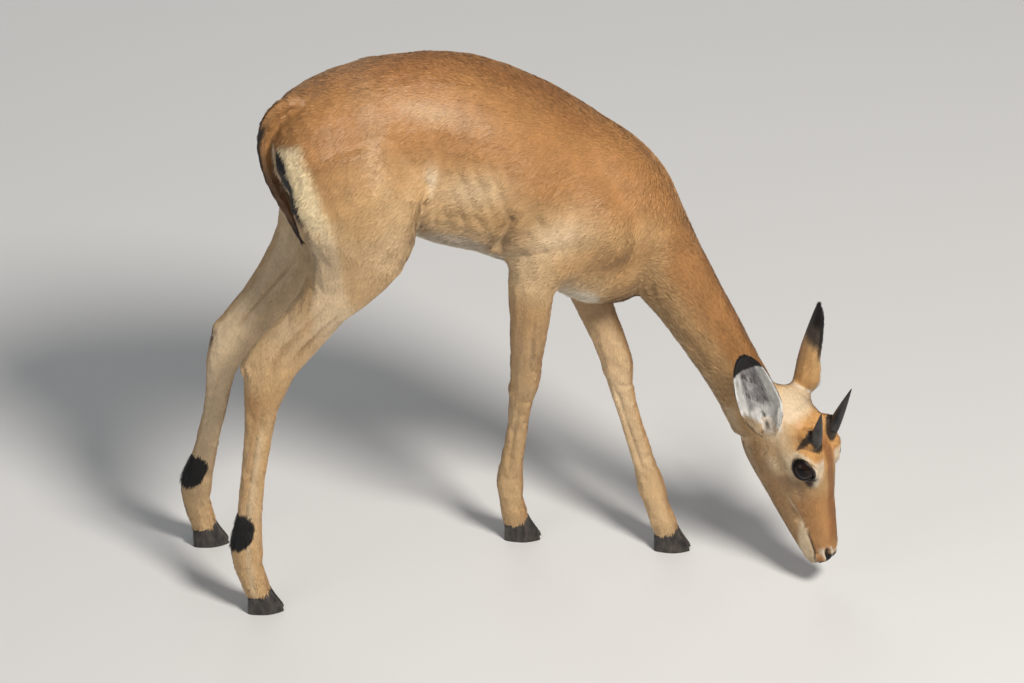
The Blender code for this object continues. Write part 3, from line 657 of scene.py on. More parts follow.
def lie_of_coat():
    """Which way the hair points, along the skin."""
    flow = np.zeros((len(skin_points), 3))
    for region in range(len(FLESH)):
        here = region_of == region
        x, _, z = skin_points[here].T
        if region == TRUNK:
            drop = 0.15 + 0.35 * np.abs(skin_normals[here, 1]) + 0.9 * ease(x, -0.13, -0.24)
            drop += 0.8 * ease(x, 0.10, 0.18)
            way = np.stack([-np.ones(len(x)), -0.10 * np.ones(len(x)), -drop], 1)
        elif region == NECK:
            way = neck_up + np.array([-0.25, 0.0, 0.0])
        elif region == HEAD:
            along, up, _ = in_head(skin_points[here])
            way = -nose - top * (0.5 * ease(up, 0.0, -0.03) * ease(along, 0.10, 0.02))[:, None]
        elif region == TAIL:
            places, middles = tail_line
            way = unit(along_line((places, -np.gradient(middles, axis=0)), z))
            way = mixed(way, np.array([-1.0, 0.0, -0.25]), ease(z, 0.655, 0.680))
        elif region in EAR_PAIR:
            way = ear_frames[region][1]
        else:
            way = mixed(np.array([-0.25, 0.0, -1.0]), np.array([-0.5, 0.0, -1.0]),
                        ease(z, 0.40, 0.52))
        flow[here] = way
    flow = spread(unit(flow), skin_edges, 24)
    return unit(flow - skin_normals * (flow * skin_normals).sum(1)[:, None])


level_of = dorsal_level()
flow_of = lie_of_coat()


def srgb(red, green, blue):
    values = np.array([red, green, blue]) / 255.0
    return np.where(values <= 0.04045, values / 12.92, ((values + 0.055) / 1.055) ** 2.4)


SPINE = srgb(138, 88, 48)
SADDLE = srgb(169, 121, 72)
FLANK = srgb(187, 149, 101)
LOW_FLANK = srgb(202, 174, 135)
LEG = srgb(198, 160, 111)
CREAM = srgb(228, 206, 172)
BAND = srgb(244, 222, 178)
WHITE = srgb(234, 222, 200)
BLACK = srgb(20, 17, 16)
DARK = srgb(80, 54, 38)
SMOKE = srgb(146, 128, 112)
RUFOUS = srgb(147, 93, 50)
BROW = srgb(208, 156, 94)
MUZZLE = srgb(184, 130, 76)
EAR_TAN = srgb(222, 180, 124)
EAR_WHITE = srgb(236, 234, 229)
EAR_GREY = srgb(148, 143, 144)
NOSE_BLACK = srgb(13, 12, 13)


def wave_noise(points, scale, seed):
    """Soft irregular variation from -1 to 1, from a few crossed waves."""
    made = np.random.default_rng(seed)
    total = np.zeros(len(points))
    for _ in range(7):
        way = unit(made.normal(size=3)) * scale * made.uniform(0.6, 1.6)
        total += np.sin(points @ way + made.uniform(0, 6.28))
    return total / 3.0


class Paint:
    """A colour at each point; each call lays another over it, as far as its share says."""

    def __init__(self, base, count):
        self.colour = np.repeat(base[None], count, 0)

    def __call__(self, tint, share):
        self.colour = mixed(self.colour, tint, share)


def rump_frame(points):
    """Forward and sideways of the rump's rear end."""
    tail_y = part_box("tail")[0][1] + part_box("tail")[1][1]
    away = points[:, :2] - (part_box("trunk")[0][0] + 0.006, tail_y / 2 + 0.006)
    c, s = math.cos(RUMP_HEADING), math.sin(RUMP_HEADING)
    return away[:, 0] * c + away[:, 1] * s, -away[:, 0] * s + away[:, 1] * c


def gland(leg, points):
    """Under 1 within the black tuft behind and above the fetlock."""
    back = (points - along_line(leg_lines[leg], points[:, 2]))[:, 0]
    rise = points[:, 2] - GLAND_HEIGHT
    return ((back + 0.0112 - 0.18 * rise) / 0.0200) ** 2 + (rise / 0.0245) ** 2


def ear_leaf(share):
    """Share of the ear's greatest half width, from its root to its tip."""
    return np.sin(np.pi * np.clip(0.16 + 0.84 * np.clip(share, 0, 1) ** 0.86, 0, 1)) ** 0.34


def ear_edge(share, across):
    """0 along the ear's middle, 1 at its edges."""
    return np.abs(across) / (EAR_HALF_WIDTH * np.maximum(ear_leaf(share), 0.1))


# Browner places on haunch and flank: x, reach, z, reach, strength.
HAUNCH_DUSK = (
    (-0.222, 0.034, 0.630, 0.045, 0.55),
    (-0.135, 0.016, 0.628, 0.032, 0.40),
    (-0.065, 0.030, 0.642, 0.024, 0.55),
    (0.030, 0.026, 0.600, 0.030, 0.30),
)
# The rump's black stripe meets its white band at the seam, and the band ends at the edge:
# heights, and distances from the rear end.
RUMP_SEAM = ((0.552, 0.566, 0.580, 0.595, 0.6045, 0.621, 0.636, 0.645, 0.665),
             (0.118, 0.109, 0.101, 0.088, 0.075, 0.066, 0.0580, 0.042, 0.024))
RUMP_EDGE = ((0.550, 0.575, 0.589, 0.604, 0.620, 0.633, 0.646, 0.658, 0.670),
             (0.160, 0.152, 0.145, 0.138, 0.126, 0.115, 0.101, 0.090, 0.075))


def markings(points, normals, regions, level):
    """The colour of the coat at any place."""
    x, y, z = points.T
    wobble, fine = wave_noise(points, 90, 3), wave_noise(points, 260, 5)
    trunk, neck = regions == TRUNK, regions == NECK
    coat = Paint(FLANK, len(points))

    def patch(tint, strength, x0, wide, z0, tall):
        coat(tint, strength * blob(x, x0, wide, z, z0, tall) * trunk)

    def part(region, paint, *fields):
        here = regions == region
        coat.colour[here] = paint(points[here], normals[here], *(field[here] for field in fields))

    coat(SADDLE, ease(level + 0.06 * wobble, 0.02, 0.50))
    coat(SPINE, 0.55 * ease(level + 0.03 * wobble, 0.86, 0.99))
    coat(LOW_FLANK, 0.75 * ease(-level + 0.05 * wobble, 0.22, 0.62))
    under = ease(-normals[:, 2] + 0.05 * wobble, 0.36, 0.58) * ease(-level, 0.45, 0.70)
    strip = ease(-level + 0.02 * fine, 0.76, 0.84) * rise_fall(x, -0.13, -0.10, 0.030, 0.005)
    coat(WHITE, np.maximum(under, strip) * trunk)
    coat(CREAM, 0.5 * under * neck)
    # painted highlight on the elbow's bulge and a pale stretch behind it, painted shade low on the
    # flank, browner haunch, painted sheen behind the shoulder
    slant = z - 0.20 * (x - 0.055)
    # painted highlight: the elbow's bulge made paler
    coat(CREAM, 0.58 * blob(x, 0.052, 0.042, slant, 0.510, 0.027) * trunk)
    # painted shade: a darker band low on the flank
    low = bell(level + 0.04 * wobble, -0.66, 0.13) * rise_fall(x, -0.13, -0.09, 0.01, -0.03)
    coat(mixed(SADDLE, DARK, 0.5), 0.42 * low * trunk)
    patch(mixed(LOW_FLANK, CREAM, 0.4), 0.62, -0.045, 0.045, 0.585, 0.026)
    for *place, strength in HAUNCH_DUSK:
        patch(mixed(SADDLE, DARK, 0.10), strength, *place)
    patchy = (0.7 + 0.3 * wobble) * trunk
    # painted sheen: a pale streak behind the shoulder
    painted_sheen = blob(x + 0.2 * (z - 0.635), 0.071, 0.013, z, 0.635, 0.034) * ease(level, 0.80, 0.50)
    coat(LOW_FLANK, 0.38 * painted_sheen * patchy)
    # pale tuft at the flank fold, pale stifle, and painted sheen down the hip and along the back
    wide = np.interp(z, (0.575, 0.615), (0.0030, 0.0085))
    tuft = 0.8 * blob(x, -0.0945, wide, z, 0.602, 0.017) * trunk
    coat(mixed(CREAM, WHITE, 0.3), np.clip(tuft, 0, 0.62))
    patch(LOW_FLANK, 0.45, -0.135, 0.030, 0.560, 0.045)
    # painted sheen: pale streaks down the hip and along the back
    hip = blob(x + 0.25 * (z - 0.66), -0.165, 0.016, z, 0.655, 0.050)
    hip += blob(x, -0.080, 0.050, z + 0.30 * (x + 0.08), 0.678, 0.010)
    coat(LOW_FLANK, 0.50 * np.clip(hip, 0, 1) * patchy)
    # painted shade in the creases behind the elbow and at the flank fold, and under the chest over
    # the brisket
    for start, end, width, depth in FOLDS[:3] + FOLDS[4:5]:
        gap = beside(points[:, ::2], start, end)[1]
        crease = np.exp(-(gap / width) ** 2) * trunk * ease(np.abs(y + 0.02), 0.02, 0.05)
        coat(DARK, np.clip(60 * depth * crease, 0, 0.28))
    # painted shade under the chest, over the brisket
    patch(mixed(SADDLE, DARK, 0.35), 0.55, 0.135, 0.050, 0.462, 0.030)
    for leg in LEG_SIDE:
        part(leg, partial(leg_markings, leg), fine, wobble, coat.colour)

    # rump: white band, black stripe, pale inner buttock, painted shade along the seam
    forward, across = rump_frame(points)
    around = forward + np.abs(across)
    rear = (trunk | np.isin(regions, HIND)) & (z < 0.668)
    seam, edge = np.interp(z, *RUMP_SEAM), np.interp(z, *RUMP_EDGE)
    ragged = 0.0022 * fine + 0.0016 * wave_noise(points, 700, 9)
    inner = ease(around, seam - 0.038, seam - 0.046) * ease(z, 0.47, 0.53)
    coat(CREAM, 0.7 * inner * rear)
    crest = z - 0.28 * (around - 0.038)
    white = ease(around + ragged, seam - 0.002, seam + 0.002) * ease(crest, 0.651, 0.642)
    white = white * ease(around + 0.8 * ragged, edge + 0.010, edge - 0.016)
    white = white * ease(z - 0.10 * (around - 0.10), 0.528, 0.572)
    coat(BAND, 0.92 * white * rear)
    behind = ease(around, edge + 0.012, edge - 0.004) * ease(around, 0.10, 0.12)
    coat(CREAM, 0.45 * behind * rear * rise_fall(z, 0.36, 0.42, 0.575, 0.54))
    black = ease(around + ragged, seam + 0.002, seam - 0.002)
    black = black * ease(around, seam - 0.045, seam - 0.037)
    coat(BLACK, black * rear * ease(z, 0.553, 0.574) * ease(crest, 0.649, 0.640))
    # painted shade: a dark line along the seam below the black stripe
    seam_shade = bell(around + ragged, seam - 0.008, 0.007)
    coat(DARK, 0.42 * seam_shade * rear * rise_fall(z, 0.575, 0.55, 0.45, 0.50))
    # the dark line that starts on the croup and runs on down the tail
    _, root_side = rump_frame(along_line(tail_line, np.array([TAIL_BEND])))
    croup = ease(np.abs(across - root_side), 0.0034, 0.0014) * ease(x, -0.268, -0.280)
    coat(BLACK, 0.80 * croup * ease(z, 0.655, 0.67) * trunk)

    part(TAIL, tail_markings, fine, croup)
    part(HEAD, head_markings, fine, wobble)
    for ear in EAR_PAIR:
        part(ear, partial(ear_markings, ear), fine)
    return np.clip(coat.colour * (1 + 0.035 * wobble + 0.03 * fine)[:, None], 0.0, 1.0)


def leg_markings(leg, points, normals, fine, wobble, above):
    """Tan outside, cream inside, going over into the colour above."""
    z = points[:, 2]
    facing, lateral = normals[:, 0], normals[:, 1] * LEG_SIDE[leg]
    hind = leg in HIND
    coat = Paint(LEG, len(points))
    coat(LOW_FLANK, 0.35 + 0.2 * wobble)
    coat(CREAM, (0.60 if hind else 0.30) * ease(-lateral, 0.15, 0.75) * ease(z, 0.05, 0.20))
    coat(SADDLE, (0.30 if hind else 0.55) * ease(facing, 0.55, 0.95) * ease(z, 0.40, 0.30))
    if not hind:
        coat(SADDLE, 0.30 * rise_fall(z, 0.24, 0.33, 0.44, 0.40))
        return mixed(coat.colour, above, ease(z, 0.40, 0.52))
    away = points - along_line(leg_lines[leg], z)
    outer = ease(lateral, 0.1, 0.6)
    coat(SADDLE, 0.55 * bell(z, 0.296, 0.020) * outer * (0.75 + 0.25 * fine))
    coat(CREAM, 0.22 * bell(z, 0.405, 0.035) * outer)
    coat(CREAM, 0.40 * bell(away[:, 0], 0.001, 0.004) * ease(z, 0.27, 0.24) * outer)
    # painted shade along the tendon, in the crease of the hock and before the tendon above it
    for brown, strength, place, wide, heights in (
            (0.3, 0.40, -0.0085, 0.0040, (0.30, 0.26, 0.13, 0.16)),
            (0.4, 0.55, 0.0080, 0.0034, (0.355, 0.375, 0.440, 0.415)),
            (0.2, 0.35, -0.0140, 0.0050, (0.335, 0.36, 0.46, 0.42))):
        groove_shade = bell(away[:, 0], place, wide) * rise_fall(z, *heights) * outer
        coat(mixed(SADDLE, DARK, brown), strength * groove_shade)
    coat(above, ease(z, 0.46, 0.52))
    # gland tuft over the fetlock, line down the pastern, hock smudge
    coat(BLACK, ease(gland(leg, points) + 0.06 * fine, 1.02, 0.84))
    line = bell(away[:, 1], 0, 0.005) * rise_fall(z, 0.100, 0.085, 0.020, 0.035)
    coat(BLACK, 0.85 * line * ease(-facing, 0.4, 0.8))
    hock = bell(z, 0.331, 0.015) * ease(-facing, 0.55, 0.9)
    coat(DARK, (0.85 if leg == HIND_L else 0.45) * hock)
    return coat.colour


def tail_markings(points, normals, fine, croup):
    """Tan, cream to the front, darker lower down as painted shade, with a black line down the back
    and a dark tip.
    """
    z = points[:, 2]
    away = points - along_line(tail_line, np.minimum(z, TAIL_BEND))
    rearward = unit(away * (1, 1, 0) + 1e-9)[:, 0]
    root = ease(z, 0.655, 0.672)
    coat = Paint(mixed(SADDLE, DARK, 0.15), len(points))
    coat(CREAM, 0.85 * ease(rearward, 0.70, 0.96) * (1 - root))
    # painted shade: darker towards the lower tail
    coat(DARK, 0.75 * ease(z, 0.638, 0.575))
    line = ease(-rearward + 0.06 * fine, 0.62, 0.86) * (1 - root)
    outside = ease(np.maximum(normals[:, 2], -normals[:, 0]), 0.10, 0.35)
    line = np.maximum(line, ease(z, 0.635, 0.655) * croup * outside)
    coat(BLACK, 0.95 * line)
    coat(BLACK, 0.85 * ease(z, 0.545, 0.515))
    return coat.colour


def head_markings(points, normals, fine, wobble):
    """Tan forehead, pale crown and jaw, blaze, streak, mouth, nose and the hair round the eyes."""
    along, up, across = in_head(points)
    off = np.abs(across)
    coat = Paint(mixed(FLANK, LEG, 0.5), len(points))

    def patch(tint, strength, a0, wide, u0, tall, low=0.018, high=0.028, slope=0.0):
        place = blob(along, a0, wide, up - slope * (along - a0), u0, tall)
        coat(tint, np.clip(strength * place * ease(off, low, high), 0, 0.8))

    coat(BROW, ease(up, 0.026, 0.044) * ease(along, 0.100, 0.060))
    coat(CREAM, 0.85 * ease(along + 0.002 * wobble, 0.014, 0.002) * ease(up, -0.002, 0.016))
    coat(MUZZLE, 0.75 * ease(along, 0.095, 0.125) * ease(up, 0.004, 0.016))
    coat(SADDLE, 0.35 * ease(up, 0.004, -0.012) * ease(along, 0.03, 0.06))
    coat(CREAM, 0.50 * ease(up + 0.002 * wobble, -0.024, -0.042))
    # pale between jaw muscle and eye, behind the eye up to the ear, and on the jaw muscle
    patch(CREAM, 0.75, 0.060, 0.030, 0.0225, 0.0075, 0.018, 0.026)
    patch(CREAM, 0.70, 0.020, 0.014, 0.0120, 0.0160)
    patch(CREAM, 0.80 * (0.85 + 0.15 * fine), 0.060, 0.017, 0.001, 0.011)
    # painted shade in the groove above the jaw muscle
    patch(mixed(DARK, SMOKE, 0.55), 0.45, 0.056, 0.026, 0.0140, 0.0034, 0.018, 0.026)
    # painted shade under the eye, between jaw muscle and cheek ridge, and along the jaw's edge
    painted_shade = blob(along, 0.094, 0.013, up, 0.025, 0.008) * ease(off, 0.012, 0.020)
    painted_shade += 0.7 * blob(along, 0.088, 0.010, up, 0.006, 0.012) * ease(off, 0.014, 0.022)
    painted_shade += 0.8 * blob(along, 0.128, 0.016, up - 0.3 * (along - 0.12), 0.004, 0.006)
    painted_shade = np.clip(0.78 * painted_shade, 0, 0.75) * (0.85 + 0.15 * fine)
    coat(mixed(DARK, RUFOUS, 0.35), painted_shade)
    # painted highlight along the cheek ridge
    patch(mixed(BROW, CREAM, 0.3), 0.75, 0.108, 0.011, 0.016, 0.0050, 0.012, 0.020)
    # rufous blaze from the horns to the nose
    wide = np.interp(along, (0.03, 0.07, 0.13, 0.19), (0.008, 0.0062, 0.0060, 0.0085))
    blaze = ease(off + 0.0010 * fine, wide + 0.0035, wide - 0.003) * ease(up, 0.022, 0.032)
    coat(RUFOUS, 0.80 * blaze * rise_fall(along, 0.022, 0.045, 0.192, 0.165))
    # mouth: cream lower lip and fold at its corner, whisker spots, pale upper lip, dark line
    line = mouth_line(along)
    wide = np.interp(along, (0.138, 0.150, 0.165, 0.180, 0.196),
                     (0.004, 0.009, 0.015, 0.023, 0.050))
    chin = ease(line - up + 0.0015 * fine, wide + 0.002, wide - 0.006) * ease(along, 0.136, 0.152)
    coat(CREAM, 0.90 * chin * ease(line - up, -0.0010, 0.0020))
    patch(CREAM, 0.6, 0.123, 0.011, 0.0056, 0.0024, 0.012, 0.018, 0.35)
    spots = 0.5 + 0.5 * wave_noise(points, 1500, 21)
    whisker = blob(along, 0.190, 0.009, up, 0.0205, 0.0042) * ease(off, 0.008, 0.012)
    coat(DARK, np.clip(0.75 * whisker * spots, 0, 1))
    coat(CREAM, 0.85 * bell(up, line + 0.0022, 0.0020) * ease(along, 0.192, 0.200))
    parting = bell(up, line + 0.0002, 0.0015) * ease(along, 0.140, 0.156)
    coat(mixed(DARK, BLACK, 0.4), 0.90 * parting)
    # nose pad, nostrils and their white rim
    slit = nostril(along, up, off)
    coat(WHITE, 0.85 * bell(slit, 1.95, 0.45) * ease(along, 0.182, 0.190))
    pad = ease(along + 0.15 * (up - 0.02), 0.1965, 0.1990)
    rim = 0.0040 + 0.32 * np.maximum(up - 0.006, 0)
    pad = pad * rise_fall(up, 0.0065, 0.0090, 0.0325, 0.0300) * ease(off, rim + 0.0018, rim)
    top_rim = bell(up, 0.0335, 0.0016) * ease(along, 0.190, 0.195) * ease(off, 0.009, 0.006)
    coat(WHITE, 0.7 * top_rim)
    coat(NOSE_BLACK, np.maximum(pad, ease(slit, 1.45, 1.10)))
    # white streak between eye and blaze
    streak = bell(up + 0.43 * (along - 0.064), 0.0560, 0.0034) * ease(off, 0.009, 0.013)
    streak = streak * ease(along, 0.058, 0.068) * ease(along + 0.001 * fine, 0.101, 0.093)
    coat(WHITE, 0.95 * streak * (1 - 0.6 * blaze))
    # the ears' hollows run on into the head
    for ear, strength in ((EAR_R, 0.95), (EAR_L, 0.25)):
        share, wide, deep = in_ear(ear, points)
        hollow = strength * ease(share, -0.06, 0.00) * ease(np.abs(wide), 0.019, 0.012)
        hollow = hollow * rise_fall(deep, -0.010, -0.002, 0.030, 0.020)
        coat(EAR_WHITE, 0.80 * hollow * (0.85 + 0.15 * fine))
        coat(BLACK, 0.9 * blob(wide, 0.0010, 0.0024, share, 0.075, 0.045) * hollow)
    for sign in eye_frames:
        # pale ring, tear at the front corner with a dark wedge below it, dark hair deepened by
        # painted shadow, black lids
        u, v, w = in_eye(sign, points)
        here = (across * sign > 0) * (w > -0.008)
        shape = lid_shape(u, v)
        ring = 0.35 + 0.60 * ease(v, -0.002, 0.006) + 0.40 * ease(-u, 0.004, 0.012)
        coat(CREAM, np.clip(ring * bell(shape, 1.47, 0.22) * here, 0, 1))
        tear = blob(u, 0.0185, 0.0065, v, -0.0020, 0.0040) * here
        coat(BLACK, np.clip(1.25 * tear, 0, 1))
        shadow_wedge = 1.4 * blob(along, 0.0885, 0.0090, up, 0.0382, 0.0046) * here + 0.03 * fine - 0.03
        coat(mixed(BLACK, DARK, 0.35), np.clip(shadow_wedge, 0, 0.97))
        coat(BLACK, ease(shape, 1.25, 1.14) * here)
        # dark hair round the horn, and the horn's painted shadow drawn out towards the temple
        base, lean = horn_frame(sign)
        _, gap = beside(points, base - lean * 0.020, base + lean * 0.015)
        coat(BLACK, 0.95 * ease(gap + 0.0008 * fine, 0.0122, 0.0092))
        share, gap = beside(np.stack([along, up], 1), (0.026, 0.056), (0.0400, 0.0375))
        wide = 0.0062 - 0.0048 * share
        shadow_wedge = ease(gap + 0.0006 * fine, wide + 0.0010, wide - 0.0014)
        shadow_wedge = 0.95 * shadow_wedge * ease(across * sign, 0.014, 0.018)
        coat(mixed(BLACK, DARK, 0.5 * share), shadow_wedge)
    return coat.colour


def ear_markings(ear, points, normals, fine):
    """Tan back and black tip; inside, white hair round grey skin with dark branches."""
    share, across, deep = in_ear(ear, points)
    facing = normals @ ear_frames[ear][2]
    inside = (facing > 0.02) | ((share < 0.20) & (facing > -0.45) & (ear == EAR_R))
    rim = ear_edge(share, across)
    back = Paint(EAR_TAN, len(points))
    back(CREAM, 0.30 * ease(share, 0.22, 0.0))
    back(mixed(BLACK, SMOKE, 0.22), ease(share + 0.02 * fine, 0.50, 0.66))
    back(BLACK, ease(share + 0.02 * fine, 0.72, 0.84))
    back(BLACK, 0.85 * ease(rim, 0.93, 1.0) * ease(share, 0.40, 0.55))
    back(BROW, 0.5 * ease(share, 0.30, 0.10))
    lobe = Paint(EAR_GREY, len(points))
    combed = np.stack([across * 3.2, share * EAR_LENGTH * 0.7, deep * 0.5], 1)
    combed = wave_noise(combed, 330, 31)
    hair = np.maximum(ease(rim, 0.40, 0.66), ease(share, 0.36, 0.20))
    hair = np.maximum(hair, 0.55 * bell(across, -0.004, 0.005) * ease(share, 0.80, 0.62))
    lobe(EAR_WHITE, np.clip(hair + 0.34 * combed, 0, 1))
    branch = ease(combed + 0.5 * fine, 0.10, 0.50) * ease(rim, 0.66, 0.40)
    branch = branch * rise_fall(share, 0.22, 0.36, 0.82, 0.70)
    lobe(mixed(BLACK, DARK, 0.4), 0.85 * branch)
    lobe(BLACK, 0.9 * blob(across, 0.0010, 0.0022, share, 0.165, 0.040))
    lobe(BLACK, ease(share + 0.010 * fine + 0.05 * (1 - rim), 0.815, 0.850))
    lobe(BLACK, 0.85 * ease(rim, 0.955, 0.995) * ease(share, 0.30, 0.42))
    lobe(CREAM, ease(share, 0.10, 0.02))
    # tan fur at the lobe's outer edge near the root, darkened as painted shade
    outer = ease(share + 14.4 * across * EAR_OUTER[ear] + 0.02 * fine, 0.055, -0.025)
    lobe(mixed(LOW_FLANK, DARK, 0.26), 0.95 * outer)
    return np.where(inside[:, None], lobe.colour, back.colour)


# ---------------------------------------------------------------- materials
def feed(node, inputs):
    """Sets a node's inputs to values, or links them to other nodes' outputs."""
    for key, value in inputs.items():
        if isinstance(value, bpy.types.NodeSocket):
            node.id_data.links.new(value, node.inputs[key])
        else:
            node.inputs[key].default_value = value


def node_output(tree, kind, output, inputs=(), operation=None):
    """The output of a new node."""
    node = tree.nodes.new("ShaderNode" + kind)
    if operation:
        node.operation = operation
    feed(node, dict(inputs))
    return node.outputs[output]


def new_material(name, values, build=None, *details):
    """A material of plain values, and of what build makes in its node tree."""
    material = bpy.data.materials.new(name)
    material.use_nodes = True
    shader = material.node_tree.nodes["Principled BSDF"]
    feed(shader, values)
    if build:
        feed(shader, build(material.node_tree, *details))
    return material


def noise(tree, scale, detail, stretch=(1.0, 1.0, 1.0)):
    place = node_output(tree, "TexCoord", "Object")
    place = node_output(tree, "Mapping", "Vector", {"Vector": place, "Scale": stretch})
    return node_output(tree, "TexNoise", "Fac",
                       {"Vector": place, "Scale": scale, "Detail": detail})


def bump(tree, height, strength, distance):
    return node_output(tree, "Bump", "Normal",
                       {"Height": height, "Strength": strength, "Distance": distance})


def painted(tree, scale, detail, spans, grain=None):
    """Markings from the mesh, mottled; a fine bump where asked."""
    mottle = node_output(tree, "MapRange", "Result", {
        "Value": noise(tree, scale, detail), "From Min": spans[0], "From Max": spans[1],
        "To Min": spans[2], "To Max": spans[3]})
    marks = node_output(tree, "Attribute", "Color")
    marks.node.attribute_name = "fur"
    made = {"Base Color": node_output(tree, "VectorMath", "Vector",
                                      {0: marks, "Scale": mottle}, "SCALE")}
    if grain:
        made["Normal"] = bump(tree, noise(tree, grain, 2.0), 0.35, 0.0006)
    return made


def keratin(tree, dark, light, scale, stretch):
    """Horn or hoof: streaked along, ringed across."""
    streak = noise(tree, scale, 5.0, stretch)
    colour = node_output(tree, "ValToRGB", "Color", {"Fac": streak})
    elements = colour.node.color_ramp.elements
    for element, position, tint in zip(elements, (0.35, 0.70), (dark, light)):
        element.position, element.color = position, (*tint, 1.0)
    return {"Base Color": colour, "Normal": bump(tree, streak, 0.4, 0.0004)}


FUR = {"Roughness": 0.52, "Specular IOR Level": 0.40, "Sheen Weight": 0.18,
       "Sheen Roughness": 0.35, "Sheen Tint": (1.0, 0.92, 0.82, 1.0)}
WET = {"Coat Roughness": 0.03, "Coat Weight": 0.1}
FUR_MOTTLE = (55.0, 4.0, (0.3, 0.7, 0.90, 1.08))
FACE_MOTTLE = (700.0, 2.0, (0.0, 1.0, 0.8, 1.2))
skin_material = new_material("skin_fur", FUR, painted, *FUR_MOTTLE, 900.0)
coat_material = new_material("coat_fur", FUR, painted, *FUR_MOTTLE)
eye_material = new_material("eye_wet", {**WET, "Roughness": 0.12, "Specular IOR Level": 0.16},
                            painted, *FACE_MOTTLE)
lid_material = new_material("lid_skin", {**WET, "Roughness": 0.42}, painted, *FACE_MOTTLE)
horn_material = new_material("horn_keratin", {"Roughness": 0.42}, keratin,
                             srgb(18, 16, 16), srgb(54, 50, 49), 140.0, (1.0, 1.0, 0.35))
hoof_material = new_material("hoof_keratin", {"Roughness": 0.38}, keratin,
                             srgb(30, 27, 26), srgb(74, 66, 60), 160.0, (1.0, 1.0, 0.4))


def finish_piece(piece, material, slot, *nodes):
    piece.data.materials.clear()
    piece.data.materials.append(material)
    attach(piece, "root")
    if nodes:
        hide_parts(*nodes)


# ---------------------------------------------------------------- skin colours and unwrap
paint_points(skin_mesh, markings(skin_points, skin_normals, region_of, level_of) * SKIN_SHADE)


def unwrap(piece):
    for other in bpy.context.view_layer.objects:
        other.select_set(False)
    piece.select_set(True)
    bpy.context.view_layer.objects.active = piece
    piece.data.uv_layers.active = piece.data.uv_layers.new(name="OFBake")
    bpy.ops.object.mode_set(mode="EDIT")
    bpy.ops.mesh.select_all(action="SELECT")
    bpy.ops.uv.smart_project(angle_limit=1.15, island_margin=0.002, scale_to_bounds=True)
    bpy.ops.object.mode_set(mode="OBJECT")


unwrap(skin)
skin_mesh = skin.data
finish_piece(skin, skin_material, "coat", *FLESH)


# ---------------------------------------------------------------- coat
# For each part of the flesh: tuft length, width, lift in radians, and spacing.
TUFTS = np.array((
    (0.0082, 0.0013, 0.10, 0.00150), (0.0076, 0.0012, 0.11, 0.00140),   # trunk, neck
    (0.0040, 0.0008, 0.09, 0.00090), (0.0125, 0.0013, 0.07, 0.00115),   # head, tail
    (0.0056, 0.0011, 0.09, 0.00130), (0.0056, 0.0011, 0.09, 0.00130),   # hind legs
    (0.0050, 0.0010, 0.08, 0.00120), (0.0050, 0.0010, 0.08, 0.00120),   # fore legs
    (0.0038, 0.0007, 0.06, 0.00086), (0.0038, 0.0007, 0.06, 0.00086)))  # ears


def coat_fields():
    """For each skin vertex: tuft length, width, lift in radians, and spacing."""
    fields = TUFTS[region_of]
    z = skin_points[:, 2]
    along, up, across = in_head(skin_points)

    def change(where, length, width=0.0, lift=0.0, space=0.0, raised=0.0):
        fields[:] *= 1 + where[:, None] * np.array((length, width, lift, space))
        fields[:, 2] += raised * where

    # short on the muzzle, round the nostrils and round the eyes
    face = region_of == HEAD
    change(face * ease(along, 0.10, 0.18), -0.45, width=-0.25, space=-0.15)
    change(face * ease(nostril(along, up, np.abs(across)), 3.2, 1.6), -0.35)
    for sign in eye_frames:
        u, v, w = in_eye(sign, skin_points)
        change(face * (w > -0.004) * ease(lid_shape(u, v), 1.9, 1.2), -0.45, lift=-0.40)
    # short on the pasterns, with a fringe that hangs over the hooves
    feet = np.isin(region_of, tuple(LEG_SIDE))
    change(feet * ease(z, 0.10, 0.05), -0.15)
    change(feet * bell(z, 0.036, 0.010), 0.8, raised=0.10)
    # longer under the belly and on the rump's white band, short where the tail starts
    change((region_of == TRUNK) * ease(-skin_normals[:, 2], 0.4, 0.8), 0.45, lift=0.5)
    forward, sideways = rump_frame(skin_points)
    around = forward + np.abs(sideways)
    rump = np.isin(region_of, (TRUNK, *HIND)) * ease(around, 0.15, 0.12)
    rump = rump * rise_fall(z, 0.50, 0.56, 0.67, 0.64)
    change(rump, 0.40, lift=0.35)
    change(rump * ease(around, 0.062, 0.045) * ease(z, 0.600, 0.585), -0.45, lift=-0.55)
    tail = region_of == TAIL
    change(tail * ease(z, 0.56, 0.63), -0.35)
    change(tail * ease(-skin_normals[:, 0], 0.3, 0.8), 0.0, lift=-0.45)
    fields = spread(fields, skin_edges, 10)
    # longer and raised: gland tufts, and the hair in the ears, which is short at their edges
    for leg in HIND:
        change((region_of == leg) * ease(gland(leg, skin_points), 1.0, 0.5), 1.0, raised=0.15)
    for ear in EAR_PAIR:
        here = region_of == ear
        share, wide, _ = in_ear(ear, skin_points)
        edge = ear_edge(share, wide)
        inside = here & (skin_normals @ ear_frames[ear][2] > 0.1)
        hairy = inside * rise_fall(share, 0.05, 0.2, 0.86, 0.70) * ease(edge, 0.95, 0.75)
        change(hairy, 1.7, raised=0.14)
        change(here * ease(edge, 0.80, 0.95), -0.35, lift=-0.6)
    return fields


